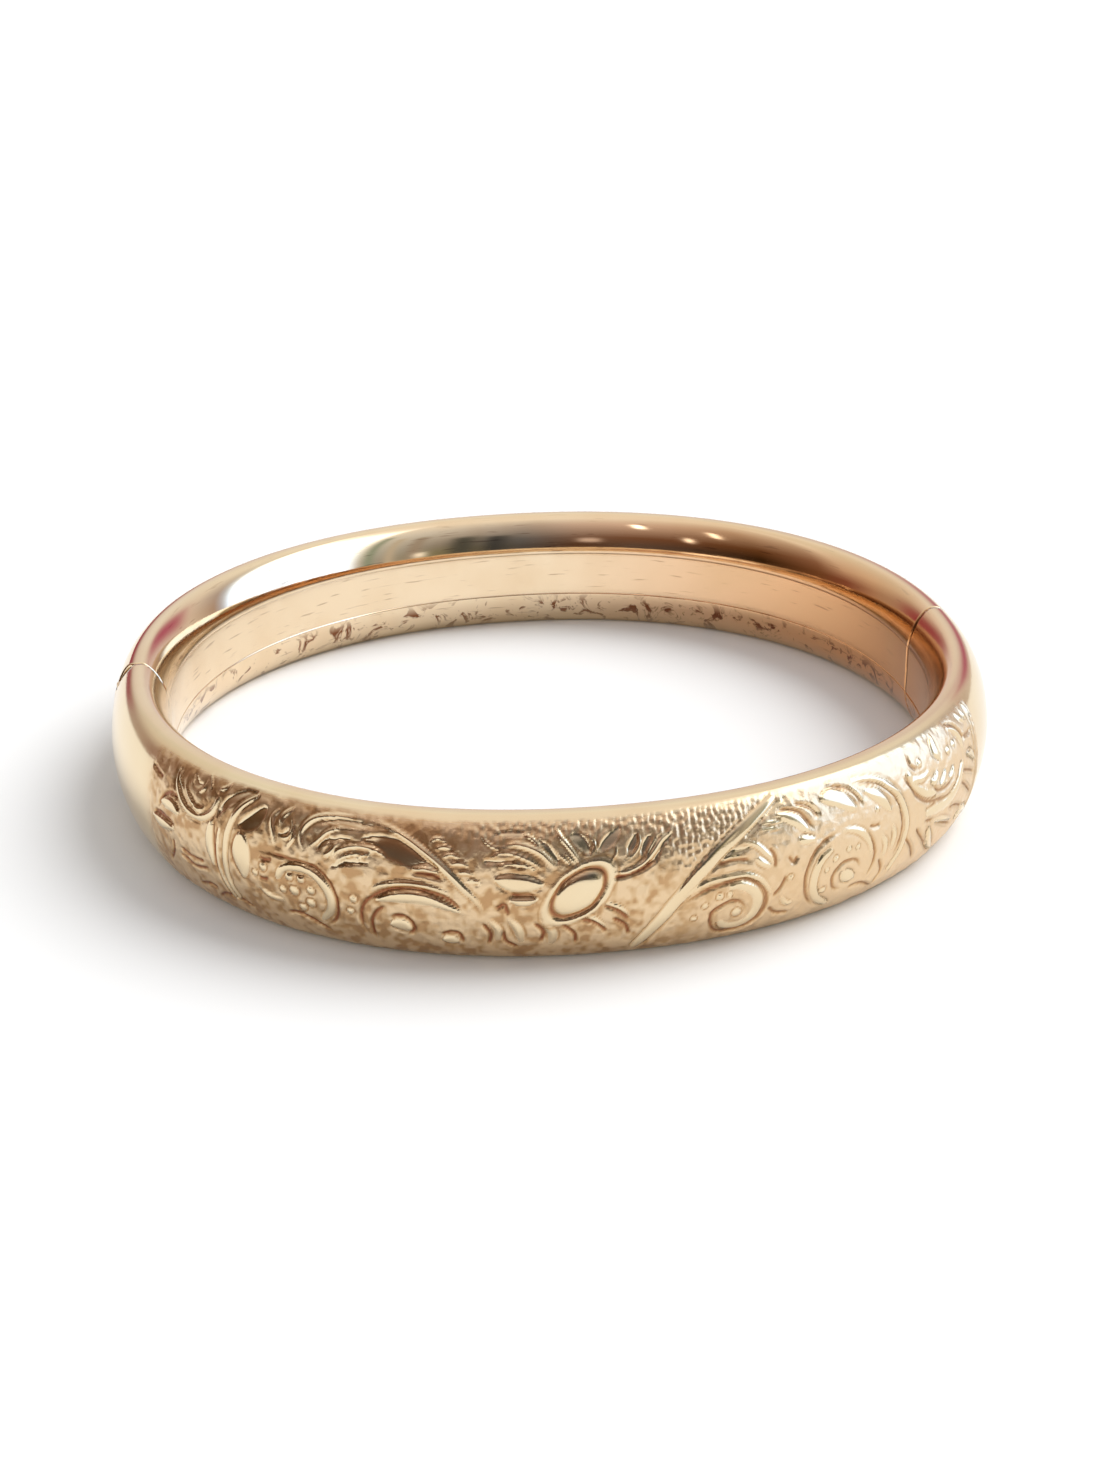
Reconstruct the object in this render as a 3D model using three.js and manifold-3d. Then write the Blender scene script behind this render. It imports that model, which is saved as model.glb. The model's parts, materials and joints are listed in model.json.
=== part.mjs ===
// Hinged oval bangle, hollow, made in two halves of rolled sheet.
// Millimetres, +Z up, origin at the centre of the oval on the resting plane.
// The hinge is at -X, the snap catch at +X, and the engraved front half faces -Y.
import * as THREE from 'three';
import { mergeVertices } from 'three/addons/utils/BufferGeometryUtils.js';
import Module from 'manifold-3d';

const wasm = await Module();
wasm.setup();

// The oval and the band
const overallLength = 67;
const overallDepth = 64.6;
const bandHeight = 10.4;
const bandThickness = 4.4;
const ovalPower = 2.13; // 2 is an ellipse, more is squarer
const cornerReach = 1.75; // how far the rounded inner edge reaches outwards
const cornerDrop = 3.3; // how far it runs down the inner wall
const cornerPower = 1.6;
const restLand = 0.4; // flat ring at the top and bottom of the band
const domePower = 1.85;
const shellWall = 0.35;
const linerWall = 0.3;
const fitGap = 0.04; // air between soldered pieces
const halfGap = 0.1; // between the two halves when shut
const sweepSteps = 40;

// The hinge
const pinReach = 3.15; // from the inner wall out to the pin
const pinRadius = 0.28;
const boreRadius = 0.33;
const barrelRadius = 0.62;
const barrelClearRadius = 0.75;
const knuckleCount = 5;
const knuckleLength = 1.44;
const knuckleGap = 0.05;
const knuckleFoot = { thickness: 0.36, reach: 1.1, neckSide: -0.3 }; // where it is soldered to its plate
const pinOverhang = 0.15;
const reliefAngle = THREE.MathUtils.degToRad(25);
const plateThickness = 0.4;
const roundSides = 24;

// The snap catch, measured outwards from the inner wall and along Y
const boxInner = { low: 1.05, high: 2.75, height: 3.6, depth: 4.4 };
const boxWall = 0.25;
const bladeThickness = 0.45;
const bladeHeight = 3;
const tangReach = 0.45;
const bladeReach = 1.3;
const bladeTip = -3.9;
const bladeStepStart = 1.7; // where the blade steps outwards from the liner
const bladeNose = { length: 0.3, bevel: 0.15 };
const tangEnd = 4.4;
const leafReach = 2.25;
const leafThickness = 0.22;
const leafHeight = 2.4;
const leafTip = -3.1;
const leafRoot = 0.75;
const leafFootLength = 0.6;
const leafBend = 0.3;
const pipRadius = 0.5;
const pipHeight = 0.33;
const pipPlace = -2.3;
const pipHoleRadius = 0.6;
const rivetRadius = 0.25;
const rivetHeadRadius = 0.45;
const rivetHeadHeight = 0.25;
const rivetHeadTaper = 0.6;
const rivetClearance = 0.05;
const rivetPlace = 2.9;

// Worked out from the sizes above
const innerHalfLength = overallLength / 2 - bandThickness;
const innerHalfDepth = overallDepth / 2 - bandThickness;
const midHeight = bandHeight / 2;
const linerLow = cornerDrop + fitGap;
const linerHigh = bandHeight - cornerDrop - fitGap;
const pinX = -(innerHalfLength + pinReach);
const barrelHeight = knuckleCount * knuckleLength + (knuckleCount - 1) * knuckleGap;
const barrelLow = midHeight - barrelHeight / 2;

// ---------- materials ----------

const paleGold = { color: 0xd9c08a, roughness: 0.2, metalness: 1 };
const roseGold = { color: 0xdcb083, roughness: 0.35, metalness: 1 };
const pinGold = { color: 0xcfae74, roughness: 0.3, metalness: 1 };
const springBrass = { color: 0xb9975a, roughness: 0.4, metalness: 1 };

// ---------- the oval path ----------

function ovalAt(angle, target) {
  const c = Math.cos(angle);
  const s = Math.sin(angle);
  const x = innerHalfLength * Math.sign(c) * Math.abs(c) ** (2 / ovalPower);
  const y = innerHalfDepth * Math.sign(s) * Math.abs(s) ** (2 / ovalPower);
  return target.set(x, y, 0);
}

// One half of the inner wall's oval, running counter-clockwise
class OvalHalf extends THREE.Curve {
  constructor(middleAngle) {
    super();
    const endAngle = Math.asin((halfGap / 2 / innerHalfDepth) ** (ovalPower / 2));
    this.startAngle = middleAngle - Math.PI / 2 + endAngle;
    this.sweep = Math.PI - 2 * endAngle;
  }

  getPoint(t, target = new THREE.Vector3()) {
    return ovalAt(this.startAngle + this.sweep * t, target);
  }
}

const frontPath = new OvalHalf(-Math.PI / 2);
const backPath = new OvalHalf(Math.PI / 2);

// ---------- the band's section ----------

// The D-shaped section as [out, up] points, from the lower lip round the dome to the upper lip.
// An inset moves the line inwards by a wall's thickness.
function domeOutline(inset, cornerSteps, domeSteps) {
  const lower = [];
  for (let i = 0; i <= cornerSteps; i += 1) {
    const a = (Math.PI / 2) * (1 - i / cornerSteps);
    const out = inset + (cornerReach - inset) * (1 - Math.sin(a) ** (2 / cornerPower));
    const up = inset + (cornerDrop - inset) * (1 - Math.cos(a) ** (2 / cornerPower));
    lower.push([out, up]);
  }
  const landEnd = cornerReach + restLand;
  const dome = [];
  for (let i = 0; i <= domeSteps; i += 1) {
    const a = Math.PI * (i / domeSteps - 0.5);
    const rise = Math.sign(a) * Math.abs(Math.sin(a)) ** (2 / domePower);
    const out = landEnd + (bandThickness - inset - landEnd) * Math.abs(Math.cos(a)) ** (2 / domePower);
    dome.push([out, midHeight + (midHeight - inset) * rise]);
  }
  const upper = lower.map(([out, up]) => [out, bandHeight - up]).reverse();
  return [...lower, ...dome, ...upper];
}

// A sweep lays a shape's x downwards and its y towards the inside of the oval.
function sweepSection(section, path) {
  const shape = new THREE.Shape(section.map(([out, up]) => new THREE.Vector2(-up, -out)));
  return new THREE.ExtrudeGeometry(shape, {
    steps: sweepSteps,
    extrudePath: path,
    bevelEnabled: false,
  });
}

// ---------- booleans ----------

function toSolid(geometry) {
  const bare = geometry.clone();
  bare.deleteAttribute('normal');
  bare.deleteAttribute('uv');
  const merged = mergeVertices(bare, 1e-5);
  return new wasm.Manifold(new wasm.Mesh({
    numProp: 3,
    vertProperties: new Float32Array(merged.attributes.position.array),
    triVerts: new Uint32Array(merged.index.array),
  }));
}

function toGeometry(solid) {
  const mesh = solid.getMesh();
  const geometry = new THREE.BufferGeometry();
  geometry.setAttribute('position', new THREE.BufferAttribute(new Float32Array(mesh.vertProperties), 3));
  geometry.setIndex(new THREE.BufferAttribute(new Uint32Array(mesh.triVerts), 1));
  geometry.computeVertexNormals();
  return geometry;
}

function cut(geometry, ...cutters) {
  return toGeometry(cutters.reduce((solid, cutter) => solid.subtract(toSolid(cutter)), toSolid(geometry)));
}

function join(geometry, other) {
  return toGeometry(toSolid(geometry).add(toSolid(other)));
}

// ---------- small shapes ----------

// A flat profile in the XY plane, raised along Z
function raise(points, height, hole) {
  const shape = new THREE.Shape(points.map(([x, y]) => new THREE.Vector2(x, y)));
  if (hole) {
    shape.holes.push(hole);
  }
  return new THREE.ExtrudeGeometry(shape, { depth: height, bevelEnabled: false });
}

function boxBetween(low, high) {
  const size = high.map((value, i) => value - low[i]);
  const centre = high.map((value, i) => (value + low[i]) / 2);
  return new THREE.BoxGeometry(...size).translate(...centre);
}

// A round bar along X at the catch, from one reach to another
function radialBar(radius, from, to, y) {
  const bar = new THREE.CylinderGeometry(radius, radius, to - from, roundSides);
  bar.rotateZ(-Math.PI / 2);
  return bar.translate(innerHalfLength + (from + to) / 2, y, midHeight);
}

// ---------- the hinge's clearance in both halves ----------

// A round well for the barrel, and a V outside it where the halves would meet as they open
function hingeWell() {
  const tall = bandHeight + 2;
  const well = new THREE.CylinderGeometry(barrelClearRadius, barrelClearRadius, tall, roundSides);
  well.rotateX(Math.PI / 2);
  well.translate(pinX, 0, midHeight);
  const reach = bandThickness;
  const spread = reach * Math.tan(reliefAngle);
  const relief = raise([[0, 0], [-reach, spread], [-reach, -spread]], tall);
  relief.translate(pinX, 0, midHeight - tall / 2);
  return join(well, relief);
}

const well = hingeWell();

// ---------- outer shells and inner liners ----------

const outerShape = [...domeOutline(0, 4, 12), ...domeOutline(shellWall, 2, 8).reverse()];
const linerShape = [[0, linerLow], [linerWall, linerLow], [linerWall, linerHigh], [0, linerHigh]];
const rivetHole = radialBar(rivetRadius + rivetClearance, -1, bladeReach + 1, rivetPlace);

function frontOuterShell() {
  return cut(sweepSection(outerShape, frontPath), well);
}

function backOuterShell() {
  return cut(sweepSection(outerShape, backPath), well);
}

function frontInnerLiner() {
  return sweepSection(linerShape, frontPath);
}

function backInnerLiner() {
  return cut(sweepSection(linerShape, backPath), rivetHole);
}

// ---------- end plates that close the hollow halves ----------

// Stands across the band at the catch end, with its outer face at y = 0 and its inner face at -Y
function endPlate() {
  const outline = domeOutline(shellWall + fitGap, 2, 8);
  const plate = raise(outline, plateThickness);
  plate.rotateX(Math.PI / 2);
  return plate.translate(innerHalfLength, 0, 0);
}

// At the hinge the plate stops short of the pin, where the barrel and the V take the room.
function hingePlate(side) {
  const plate = endPlate().rotateZ(Math.PI);
  const start = side > 0 ? halfGap / 2 : -halfGap / 2 - plateThickness;
  const beyondPin = boxBetween([pinX - bandThickness, -1, -1], [pinX, 1, bandHeight + 1]);
  return cut(plate.translate(0, start, 0), well, beyondPin);
}

function catchPlate(side) {
  const start = side > 0 ? halfGap / 2 + plateThickness : -halfGap / 2;
  const mouthLow = side > 0 ? tangReach : boxInner.low;
  const mouth = boxBetween(
    [innerHalfLength + mouthLow, -1, midHeight - boxInner.height / 2],
    [innerHalfLength + boxInner.high, 1, midHeight + boxInner.height / 2],
  );
  return cut(endPlate().translate(0, start, 0), mouth);
}

// ---------- hinge barrel and pin ----------

// A knuckle's profile about the pin: a round eye whose foot lies behind the front half's end plate
function knuckle() {
  const footTop = -(halfGap / 2 + plateThickness + fitGap);
  const footLow = footTop - knuckleFoot.thickness;
  const footEnd = knuckleFoot.reach;
  const neckSide = knuckleFoot.neckSide;
  const footJoin = Math.sqrt(barrelRadius ** 2 - footTop ** 2);
  const neckJoin = -Math.sqrt(barrelRadius ** 2 - neckSide ** 2);
  const shape = new THREE.Shape();
  shape.moveTo(neckSide, neckJoin);
  shape.lineTo(0, footLow);
  shape.lineTo(footEnd, footLow);
  shape.lineTo(footEnd, footTop);
  shape.lineTo(footJoin, footTop);
  const startAngle = Math.atan2(footTop, footJoin);
  const endAngle = Math.atan2(neckJoin, neckSide) + 2 * Math.PI;
  shape.absarc(0, 0, barrelRadius, startAngle, endAngle, false);
  const bore = new THREE.Path();
  bore.absarc(0, 0, boreRadius, 0, 2 * Math.PI, true);
  shape.holes.push(bore);
  return new THREE.ExtrudeGeometry(shape, {
    depth: knuckleLength,
    bevelEnabled: false,
    curveSegments: roundSides / 2,
  });
}

function hingePin() {
  const length = barrelHeight + 2 * pinOverhang;
  return new THREE.CylinderGeometry(pinRadius, pinRadius, length, roundSides).rotateX(Math.PI / 2);
}

// ---------- snap catch ----------

// A closed box behind the front half's mouth, with a hole that the pip snaps into
function catchBox() {
  const front = -halfGap / 2 - plateThickness - fitGap;
  const halfInside = boxInner.height / 2;
  const outside = boxBetween(
    [innerHalfLength + boxInner.low - boxWall, front - boxInner.depth, midHeight - halfInside - boxWall],
    [innerHalfLength + boxInner.high + boxWall, front, midHeight + halfInside + boxWall],
  );
  const inside = boxBetween(
    [innerHalfLength + boxInner.low, front - boxInner.depth + boxWall, midHeight - halfInside],
    [innerHalfLength + boxInner.high, 1, midHeight + halfInside],
  );
  const pipHole = radialBar(pipHoleRadius, boxInner.high - boxWall / 2, boxInner.high + 1, pipPlace);
  return cut(outside, inside, pipHole);
}

// A strip riveted to the back liner, stepped outwards and running into the box
function tongueBlade() {
  const tangOuter = tangReach + bladeThickness;
  const bladeOuter = bladeReach + bladeThickness;
  const stepStart = bladeStepStart;
  const stepEnd = stepStart - (bladeReach - tangReach);
  const nose = bladeNose.length;
  const noseIn = bladeNose.bevel;
  const profile = [
    [tangReach, tangEnd],
    [tangReach, stepStart],
    [bladeReach, stepEnd],
    [bladeReach, bladeTip + nose],
    [bladeReach + noseIn, bladeTip],
    [bladeOuter - noseIn, bladeTip],
    [bladeOuter, bladeTip + nose],
    [bladeOuter, stepEnd + nose],
    [tangOuter, stepStart + nose],
    [tangOuter, tangEnd],
  ];
  const strip = raise(profile, bladeHeight).translate(innerHalfLength, 0, midHeight - bladeHeight / 2);
  return cut(strip, rivetHole);
}

// A spring leaf soldered to the blade by its foot, with a domed pip near its tip
function tongueSpring() {
  const leafOuter = leafReach + leafThickness;
  const footReach = bladeReach + bladeThickness + fitGap;
  const footEnd = leafRoot - leafFootLength;
  const profile = [
    [footReach, leafRoot],
    [footReach, footEnd],
    [leafReach, footEnd],
    [leafReach, leafTip],
    [leafReach - leafBend / 2, leafTip - leafBend],
    [leafOuter - leafBend / 2, leafTip - leafBend],
    [leafOuter, leafTip],
    [leafOuter, leafRoot],
  ];
  const leaf = raise(profile, leafHeight).translate(innerHalfLength, 0, midHeight - leafHeight / 2);
  const domeSteps = 4;
  const sunk = leafThickness / 2;
  const dome = [new THREE.Vector2(0, -sunk), new THREE.Vector2(pipRadius, -sunk)];
  for (let i = 0; i <= domeSteps; i += 1) {
    const a = (Math.PI / 2) * (i / domeSteps);
    dome.push(new THREE.Vector2(i === domeSteps ? 0 : pipRadius * Math.cos(a), pipHeight * Math.sin(a)));
  }
  const pip = new THREE.LatheGeometry(dome, roundSides / 2);
  pip.rotateZ(-Math.PI / 2);
  pip.translate(innerHalfLength + leafOuter, pipPlace, midHeight);
  return join(leaf, pip);
}

// Flush with the inner wall, through the liner and the tang, with its head spread behind the tang
function tongueRivet() {
  const headStart = tangReach + bladeThickness + fitGap;
  const profile = [
    [0, 0],
    [rivetRadius, 0],
    [rivetRadius, headStart],
    [rivetHeadRadius, headStart],
    [rivetHeadRadius * rivetHeadTaper, headStart + rivetHeadHeight],
    [0, headStart + rivetHeadHeight],
  ];
  const rivet = new THREE.LatheGeometry(profile.map(([x, y]) => new THREE.Vector2(x, y)), roundSides);
  return rivet.rotateZ(-Math.PI / 2);
}

// ---------- the assembly ----------

function addPiece(group, name, geometry, finish) {
  const mesh = new THREE.Mesh(geometry, new THREE.MeshStandardMaterial(finish));
  mesh.name = name;
  group.add(mesh);
  return mesh;
}

const bangle = new THREE.Group();
const frontHalf = new THREE.Group();
const backHalf = new THREE.Group();
bangle.add(frontHalf, backHalf);

addPiece(frontHalf, 'front_outer_shell', frontOuterShell(), paleGold);
addPiece(frontHalf, 'front_inner_liner', frontInnerLiner(), roseGold);
addPiece(frontHalf, 'front_hinge_plate', hingePlate(-1), roseGold);
addPiece(frontHalf, 'front_catch_plate', catchPlate(-1), roseGold);
addPiece(frontHalf, 'catch_box', catchBox(), springBrass);

addPiece(backHalf, 'back_outer_shell', backOuterShell(), paleGold);
addPiece(backHalf, 'back_inner_liner', backInnerLiner(), roseGold);
addPiece(backHalf, 'back_hinge_plate', hingePlate(1), roseGold);
addPiece(backHalf, 'back_catch_plate', catchPlate(1), roseGold);
addPiece(backHalf, 'tongue_blade', tongueBlade(), springBrass);
addPiece(backHalf, 'tongue_spring', tongueSpring(), springBrass);
const rivet = addPiece(backHalf, 'tongue_rivet', tongueRivet(), springBrass);
rivet.position.set(innerHalfLength, rivetPlace, midHeight);

// Knuckles alternate between the halves, and the odd ones belong to the front.
for (let i = 0; i < knuckleCount; i += 1) {
  const isFront = i % 2 === 0;
  const piece = addPiece(
    isFront ? frontHalf : backHalf,
    `${isFront ? 'front' : 'back'}_knuckle_${i + 1}`,
    knuckle(),
    pinGold,
  );
  const low = barrelLow + i * (knuckleLength + knuckleGap);
  piece.position.set(pinX, 0, isFront ? low : low + knuckleLength);
  piece.rotation.x = isFront ? 0 : Math.PI;
}

const pin = addPiece(frontHalf, 'hinge_pin', hingePin(), pinGold);
pin.position.set(pinX, 0, midHeight);

export default bangle;
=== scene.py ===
import json
import math

import bpy
import numpy as np
from mathutils import Matrix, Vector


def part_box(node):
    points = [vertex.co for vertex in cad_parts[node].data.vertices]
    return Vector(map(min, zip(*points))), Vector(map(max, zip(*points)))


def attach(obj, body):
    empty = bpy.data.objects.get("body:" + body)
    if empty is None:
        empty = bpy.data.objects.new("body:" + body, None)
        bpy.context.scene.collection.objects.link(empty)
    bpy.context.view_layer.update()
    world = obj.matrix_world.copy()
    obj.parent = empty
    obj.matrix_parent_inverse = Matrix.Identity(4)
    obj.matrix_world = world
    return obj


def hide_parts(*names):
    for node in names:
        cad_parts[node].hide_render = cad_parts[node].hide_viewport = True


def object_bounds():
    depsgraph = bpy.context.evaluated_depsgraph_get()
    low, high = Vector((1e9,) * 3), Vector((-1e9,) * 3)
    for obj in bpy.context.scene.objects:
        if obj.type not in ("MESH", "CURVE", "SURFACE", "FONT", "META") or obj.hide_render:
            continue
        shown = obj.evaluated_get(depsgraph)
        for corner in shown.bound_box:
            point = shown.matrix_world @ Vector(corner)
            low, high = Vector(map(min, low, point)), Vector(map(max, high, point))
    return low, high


# A hinged oval bangle of gold-filled sheet: engraved front half, plain back half, satin liners.
# Sizes in the dictionaries are millimetres. The frame, and every finished mesh, is in metres.

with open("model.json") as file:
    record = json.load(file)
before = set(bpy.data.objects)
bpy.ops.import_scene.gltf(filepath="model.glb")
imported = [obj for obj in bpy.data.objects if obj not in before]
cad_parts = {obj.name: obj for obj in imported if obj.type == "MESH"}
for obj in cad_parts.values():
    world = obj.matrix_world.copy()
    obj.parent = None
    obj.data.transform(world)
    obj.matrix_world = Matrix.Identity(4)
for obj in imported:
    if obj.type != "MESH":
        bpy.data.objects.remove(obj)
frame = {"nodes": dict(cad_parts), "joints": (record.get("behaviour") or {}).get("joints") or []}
cadLow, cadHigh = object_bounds()
mm = 0.001
print("frame loaded:", len(frame["nodes"]), "pieces")

band = {
    "ovalPower": 2.13,       # 2 is an ellipse, more is squarer
    "linerWall": 0.3,
    "shellWall": 0.35,
    "cornerReach": 1.75,     # rounded inner edge, outwards from the inner wall
    "cornerDrop": 3.3,       # and down the inner wall
    "cornerPower": 1.6,
    "restLand": 0.4,         # flat ring that the bangle rests on
    "domePower": 1.85,
    "halfGap": 0.1,          # between the halves when shut
    "wristEdge": 1.15,       # the wrist's side ends here on the corner, in corner reaches
    "pathSteps": 6001,       # fineness of the tables that lengths are read from
    "sectionSteps": 4001,
}
mapUnit = 10                 # millimetres in one unit of the band's UV map

# the inner wall's half length and half depth
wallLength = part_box("back_inner_liner")[1].x / mm - band["linerWall"]
wallDepth = -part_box("front_inner_liner")[0].y / mm - band["linerWall"]
bandHeight = (cadHigh.z - cadLow.z) / mm
bandThickness = cadHigh.x / mm - wallLength
midHeight = bandHeight / 2


def ovalPoint(angle):
    # superellipse: |x / length|^power + |y / depth|^power = 1, with its outward unit normal
    c, s = np.cos(angle), np.sin(angle)
    p = 2 / band["ovalPower"]
    x = wallLength * np.sign(c) * np.abs(c) ** p
    y = wallDepth * np.sign(s) * np.abs(s) ** p
    nx = np.sign(x) * np.abs(x / wallLength) ** (band["ovalPower"] - 1) / wallLength
    ny = np.sign(y) * np.abs(y / wallDepth) ** (band["ovalPower"] - 1) / wallDepth
    size = np.hypot(nx, ny)
    return x, y, nx / size, ny / size


def halfPath(middleAngle):
    # the half oval as a table of angle against distance along the outer face, zero at its middle
    ends = math.asin((band["halfGap"] / 2 / wallDepth) ** (band["ovalPower"] / 2))
    angle = middleAngle + np.linspace(-math.pi / 2 + ends, math.pi / 2 - ends, band["pathSteps"])
    x, y, nx, ny = ovalPoint(angle)
    outerX, outerY = x + nx * bandThickness, y + ny * bandThickness
    along = np.concatenate([[0], np.cumsum(np.hypot(np.diff(outerX), np.diff(outerY)))])
    return angle, along - along[len(along) // 2]


def domeOutline(inset, cornerRows, domeRows, domeSpread=None):
    # the section from the lower lip, over the dome, to the upper lip, as (out, up) rows, with the
    # distance along it: superellipse corner, flat land, superellipse dome, and the corner again.
    # domeSpread places the dome's rows, from -1 to 1
    a = np.linspace(math.pi / 2, 0, cornerRows)
    reach, drop = band["cornerReach"], band["cornerDrop"]
    out = inset + (reach - inset) * (1 - np.abs(np.sin(a)) ** (2 / band["cornerPower"]))
    up = inset + (drop - inset) * (1 - np.abs(np.cos(a)) ** (2 / band["cornerPower"]))
    landEnd = reach + band["restLand"]
    fine = np.linspace(-math.pi / 2, math.pi / 2, band["sectionSteps"])
    p = 2 / band["domePower"]
    domeOut = landEnd + (bandThickness - inset - landEnd) * np.abs(np.cos(fine)) ** p
    domeUp = midHeight + (midHeight - inset) * np.sign(fine) * np.abs(np.sin(fine)) ** p
    run = np.concatenate([[0], np.cumsum(np.hypot(np.diff(domeOut), np.diff(domeUp)))])
    run -= run[len(run) // 2]
    rows = run[-1] * (np.linspace(-1, 1, domeRows) if domeSpread is None else domeSpread)
    dome = np.stack([np.interp(rows, run, domeOut), np.interp(rows, run, domeUp)], 1)
    lower = np.stack([out, up], 1)
    upper = np.stack([out, bandHeight - up], 1)[::-1]
    outline = np.concatenate([lower, dome, upper])
    across = np.concatenate([[0], np.cumsum(np.hypot(*np.diff(outline, axis=0).T))])
    return outline, across - across[-1] / 2


def sectionNormals(outline):
    # unit normals of an (out, up) line, pointing away from the hollow
    step = np.gradient(outline, axis=0)
    normal = np.stack([step[:, 1], -step[:, 0]], 1)
    return normal / np.linalg.norm(normal, axis=1, keepdims=True)


hinge = frame["joints"][0]
pinOut = -hinge["pos_m"][0] / mm - wallLength
hingeWell = {"radius": 0.75, "reliefAngle": 25.0, "fade": 4.0}


def hingeTrim(out):
    # how far a row stops short of the joint: a round well about the pin, and a V outside it
    fromPin = out - pinOut
    well = np.sqrt(np.maximum(hingeWell["radius"] ** 2 - fromPin ** 2, 0))
    vee = np.maximum(fromPin, 0) * math.tan(math.radians(hingeWell["reliefAngle"]))
    return np.maximum(np.maximum(well, vee) - band["halfGap"] / 2, 0)


def makeMesh(name, points, faces, loops, smooth=True):
    # points is (n, 3) in millimetres, loops is the flat list of corners, faces is each face's size
    mesh = bpy.data.meshes.new(name)
    mesh.vertices.add(len(points))
    mesh.vertices.foreach_set("co", (points * mm).astype(np.float32).ravel())
    mesh.loops.add(len(loops))
    mesh.loops.foreach_set("vertex_index", loops.astype(np.int32))
    starts = np.concatenate([[0], np.cumsum(faces)[:-1]])
    mesh.polygons.add(len(faces))
    mesh.polygons.foreach_set("loop_start", starts.astype(np.int32))
    mesh.polygons.foreach_set("use_smooth", np.full(len(faces), smooth))
    mesh.update(calc_edges=True)
    mesh.validate()
    piece = bpy.data.objects.new(name, mesh)
    bpy.context.scene.collection.objects.link(piece)
    return piece


def gridQuads(ids, flip=False):
    # the four corners of every cell of a grid of vertex numbers
    quads = np.stack([ids[:-1, :-1], ids[1:, :-1], ids[1:, 1:], ids[:-1, 1:]], -1).reshape(-1, 4)
    return quads[:, ::-1] if flip else quads


def setAttribute(piece, name, values):
    layer = piece.data.attributes.new(name, "FLOAT", "POINT")
    layer.data.foreach_set("value", values.astype(np.float32).ravel())


def carrySection(path, along, outline, relief=None, trimEnd=0):
    # a section carried along the half oval: every column stands square to the wall.
    # relief pushes each point along the section's own normal.
    angles, distances = path
    out = np.broadcast_to(outline[:, 0], (len(along), len(outline)))
    up = np.broadcast_to(outline[:, 1], out.shape)
    if relief is not None:
        normal = sectionNormals(outline)
        out = out + relief * normal[:, 0]
        up = up + relief * normal[:, 1]
    where = np.broadcast_to(along[:, None], out.shape)
    if trimEnd:
        fromEnd = (along - along[0]) if trimEnd < 0 else (along[-1] - along)
        fade = np.clip(1 - fromEnd / hingeWell["fade"], 0, 1)[:, None]
        where = where - trimEnd * hingeTrim(out) * fade
    x, y, nx, ny = ovalPoint(np.interp(where, distances, angles))
    return np.stack([x + nx * out, y + ny * out, up], -1)


def shellPiece(name, middleAngle, along, outline, across, cornerRows, relief, trimEnd):
    # a closed sheet-metal shell: fine outer face, coarse inner face, strips at lips and ends
    path = halfPath(middleAngle)
    outer = carrySection(path, along, outline, relief, trimEnd)
    overDome = across[cornerRows:-cornerRows]
    hollow = domeOutline(band["shellWall"], cornerRows, len(overDome), overDome / overDome[-1])[0]
    coarse = np.unique(np.linspace(0, len(along) - 1, shellRows["hollowColumns"]).round().astype(int))
    inner = carrySection(path, along[coarse], hollow, None, trimEnd)
    columns, rows = outer.shape[:2]
    outerIds = np.arange(columns * rows).reshape(columns, rows)
    innerIds = columns * rows + np.arange(len(coarse) * rows).reshape(len(coarse), rows)
    startCap = gridQuads(np.stack([innerIds[0], outerIds[0]]))
    endCap = gridQuads(np.stack([outerIds[-1], innerIds[-1]]))
    quads = np.concatenate([gridQuads(outerIds), gridQuads(innerIds, True), startCap, endCap])
    loops, sizes = [quads.ravel()], [np.full(len(quads), 4)]
    for a, b, i in zip(coarse[:-1], coarse[1:], range(len(coarse) - 1)):
        lower = np.concatenate([outerIds[a:b + 1, 0][::-1], innerIds[i:i + 2, 0]])
        upper = np.concatenate([outerIds[a:b + 1, -1], innerIds[i:i + 2, -1][::-1]])
        loops += [lower, upper]
        sizes.append(np.array([len(lower), len(upper)]))
    points = np.concatenate([outer.reshape(-1, 3), inner.reshape(-1, 3)])
    piece = makeMesh(name, points, np.concatenate(sizes), np.concatenate(loops))
    # how far a point is part of the wall that faces the wrist
    inside = np.tile(np.clip(band["wristEdge"] - outline[:, 0] / band["cornerReach"], 0, 1), columns)
    setAttribute(piece, "inside", np.concatenate([inside, np.ones(inner.size // 3)]))
    return piece, inner.size // 3


def addBandMap(piece, along, across, spare):
    # a UV map in centimetres: u runs along the band and v across it
    u = np.concatenate([np.repeat(along, len(across)), np.zeros(spare)]) / mapUnit
    v = np.concatenate([np.tile(across, len(along)), np.zeros(spare)]) / mapUnit
    corner = np.zeros(len(piece.data.loops), np.int32)
    piece.data.loops.foreach_get("vertex_index", corner)
    layer = piece.data.uv_layers.new(name="band")
    layer.data.foreach_set("uv", np.stack([u[corner], v[corner]], 1).astype(np.float32).ravel())


# Every stroke lies on the unrolled front half: the first number runs from hinge to catch with
# zero at the middle, the second runs up over the dome with zero at mid-height, and so on by turns.
engraving = {
    "start": -36.8,
    "end": 33.9,
    "top": 5.2,
    "bottom": -5.3,
    "grooveWidth": 0.2,
    "grooveDepth": 0.13,
    "ridgeHeight": 0.12,
    "bandHeight": 0.06,
    "petalHeight": 0.1,
    "scoopDepth": 0.12,
    "bossHeight": 0.1,
    "bandBlunt": 0.16,           # less is blunter at the ends
    "petalBlunt": 0.55,
    "borderLines": [32.95, 33.5],
}

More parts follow.
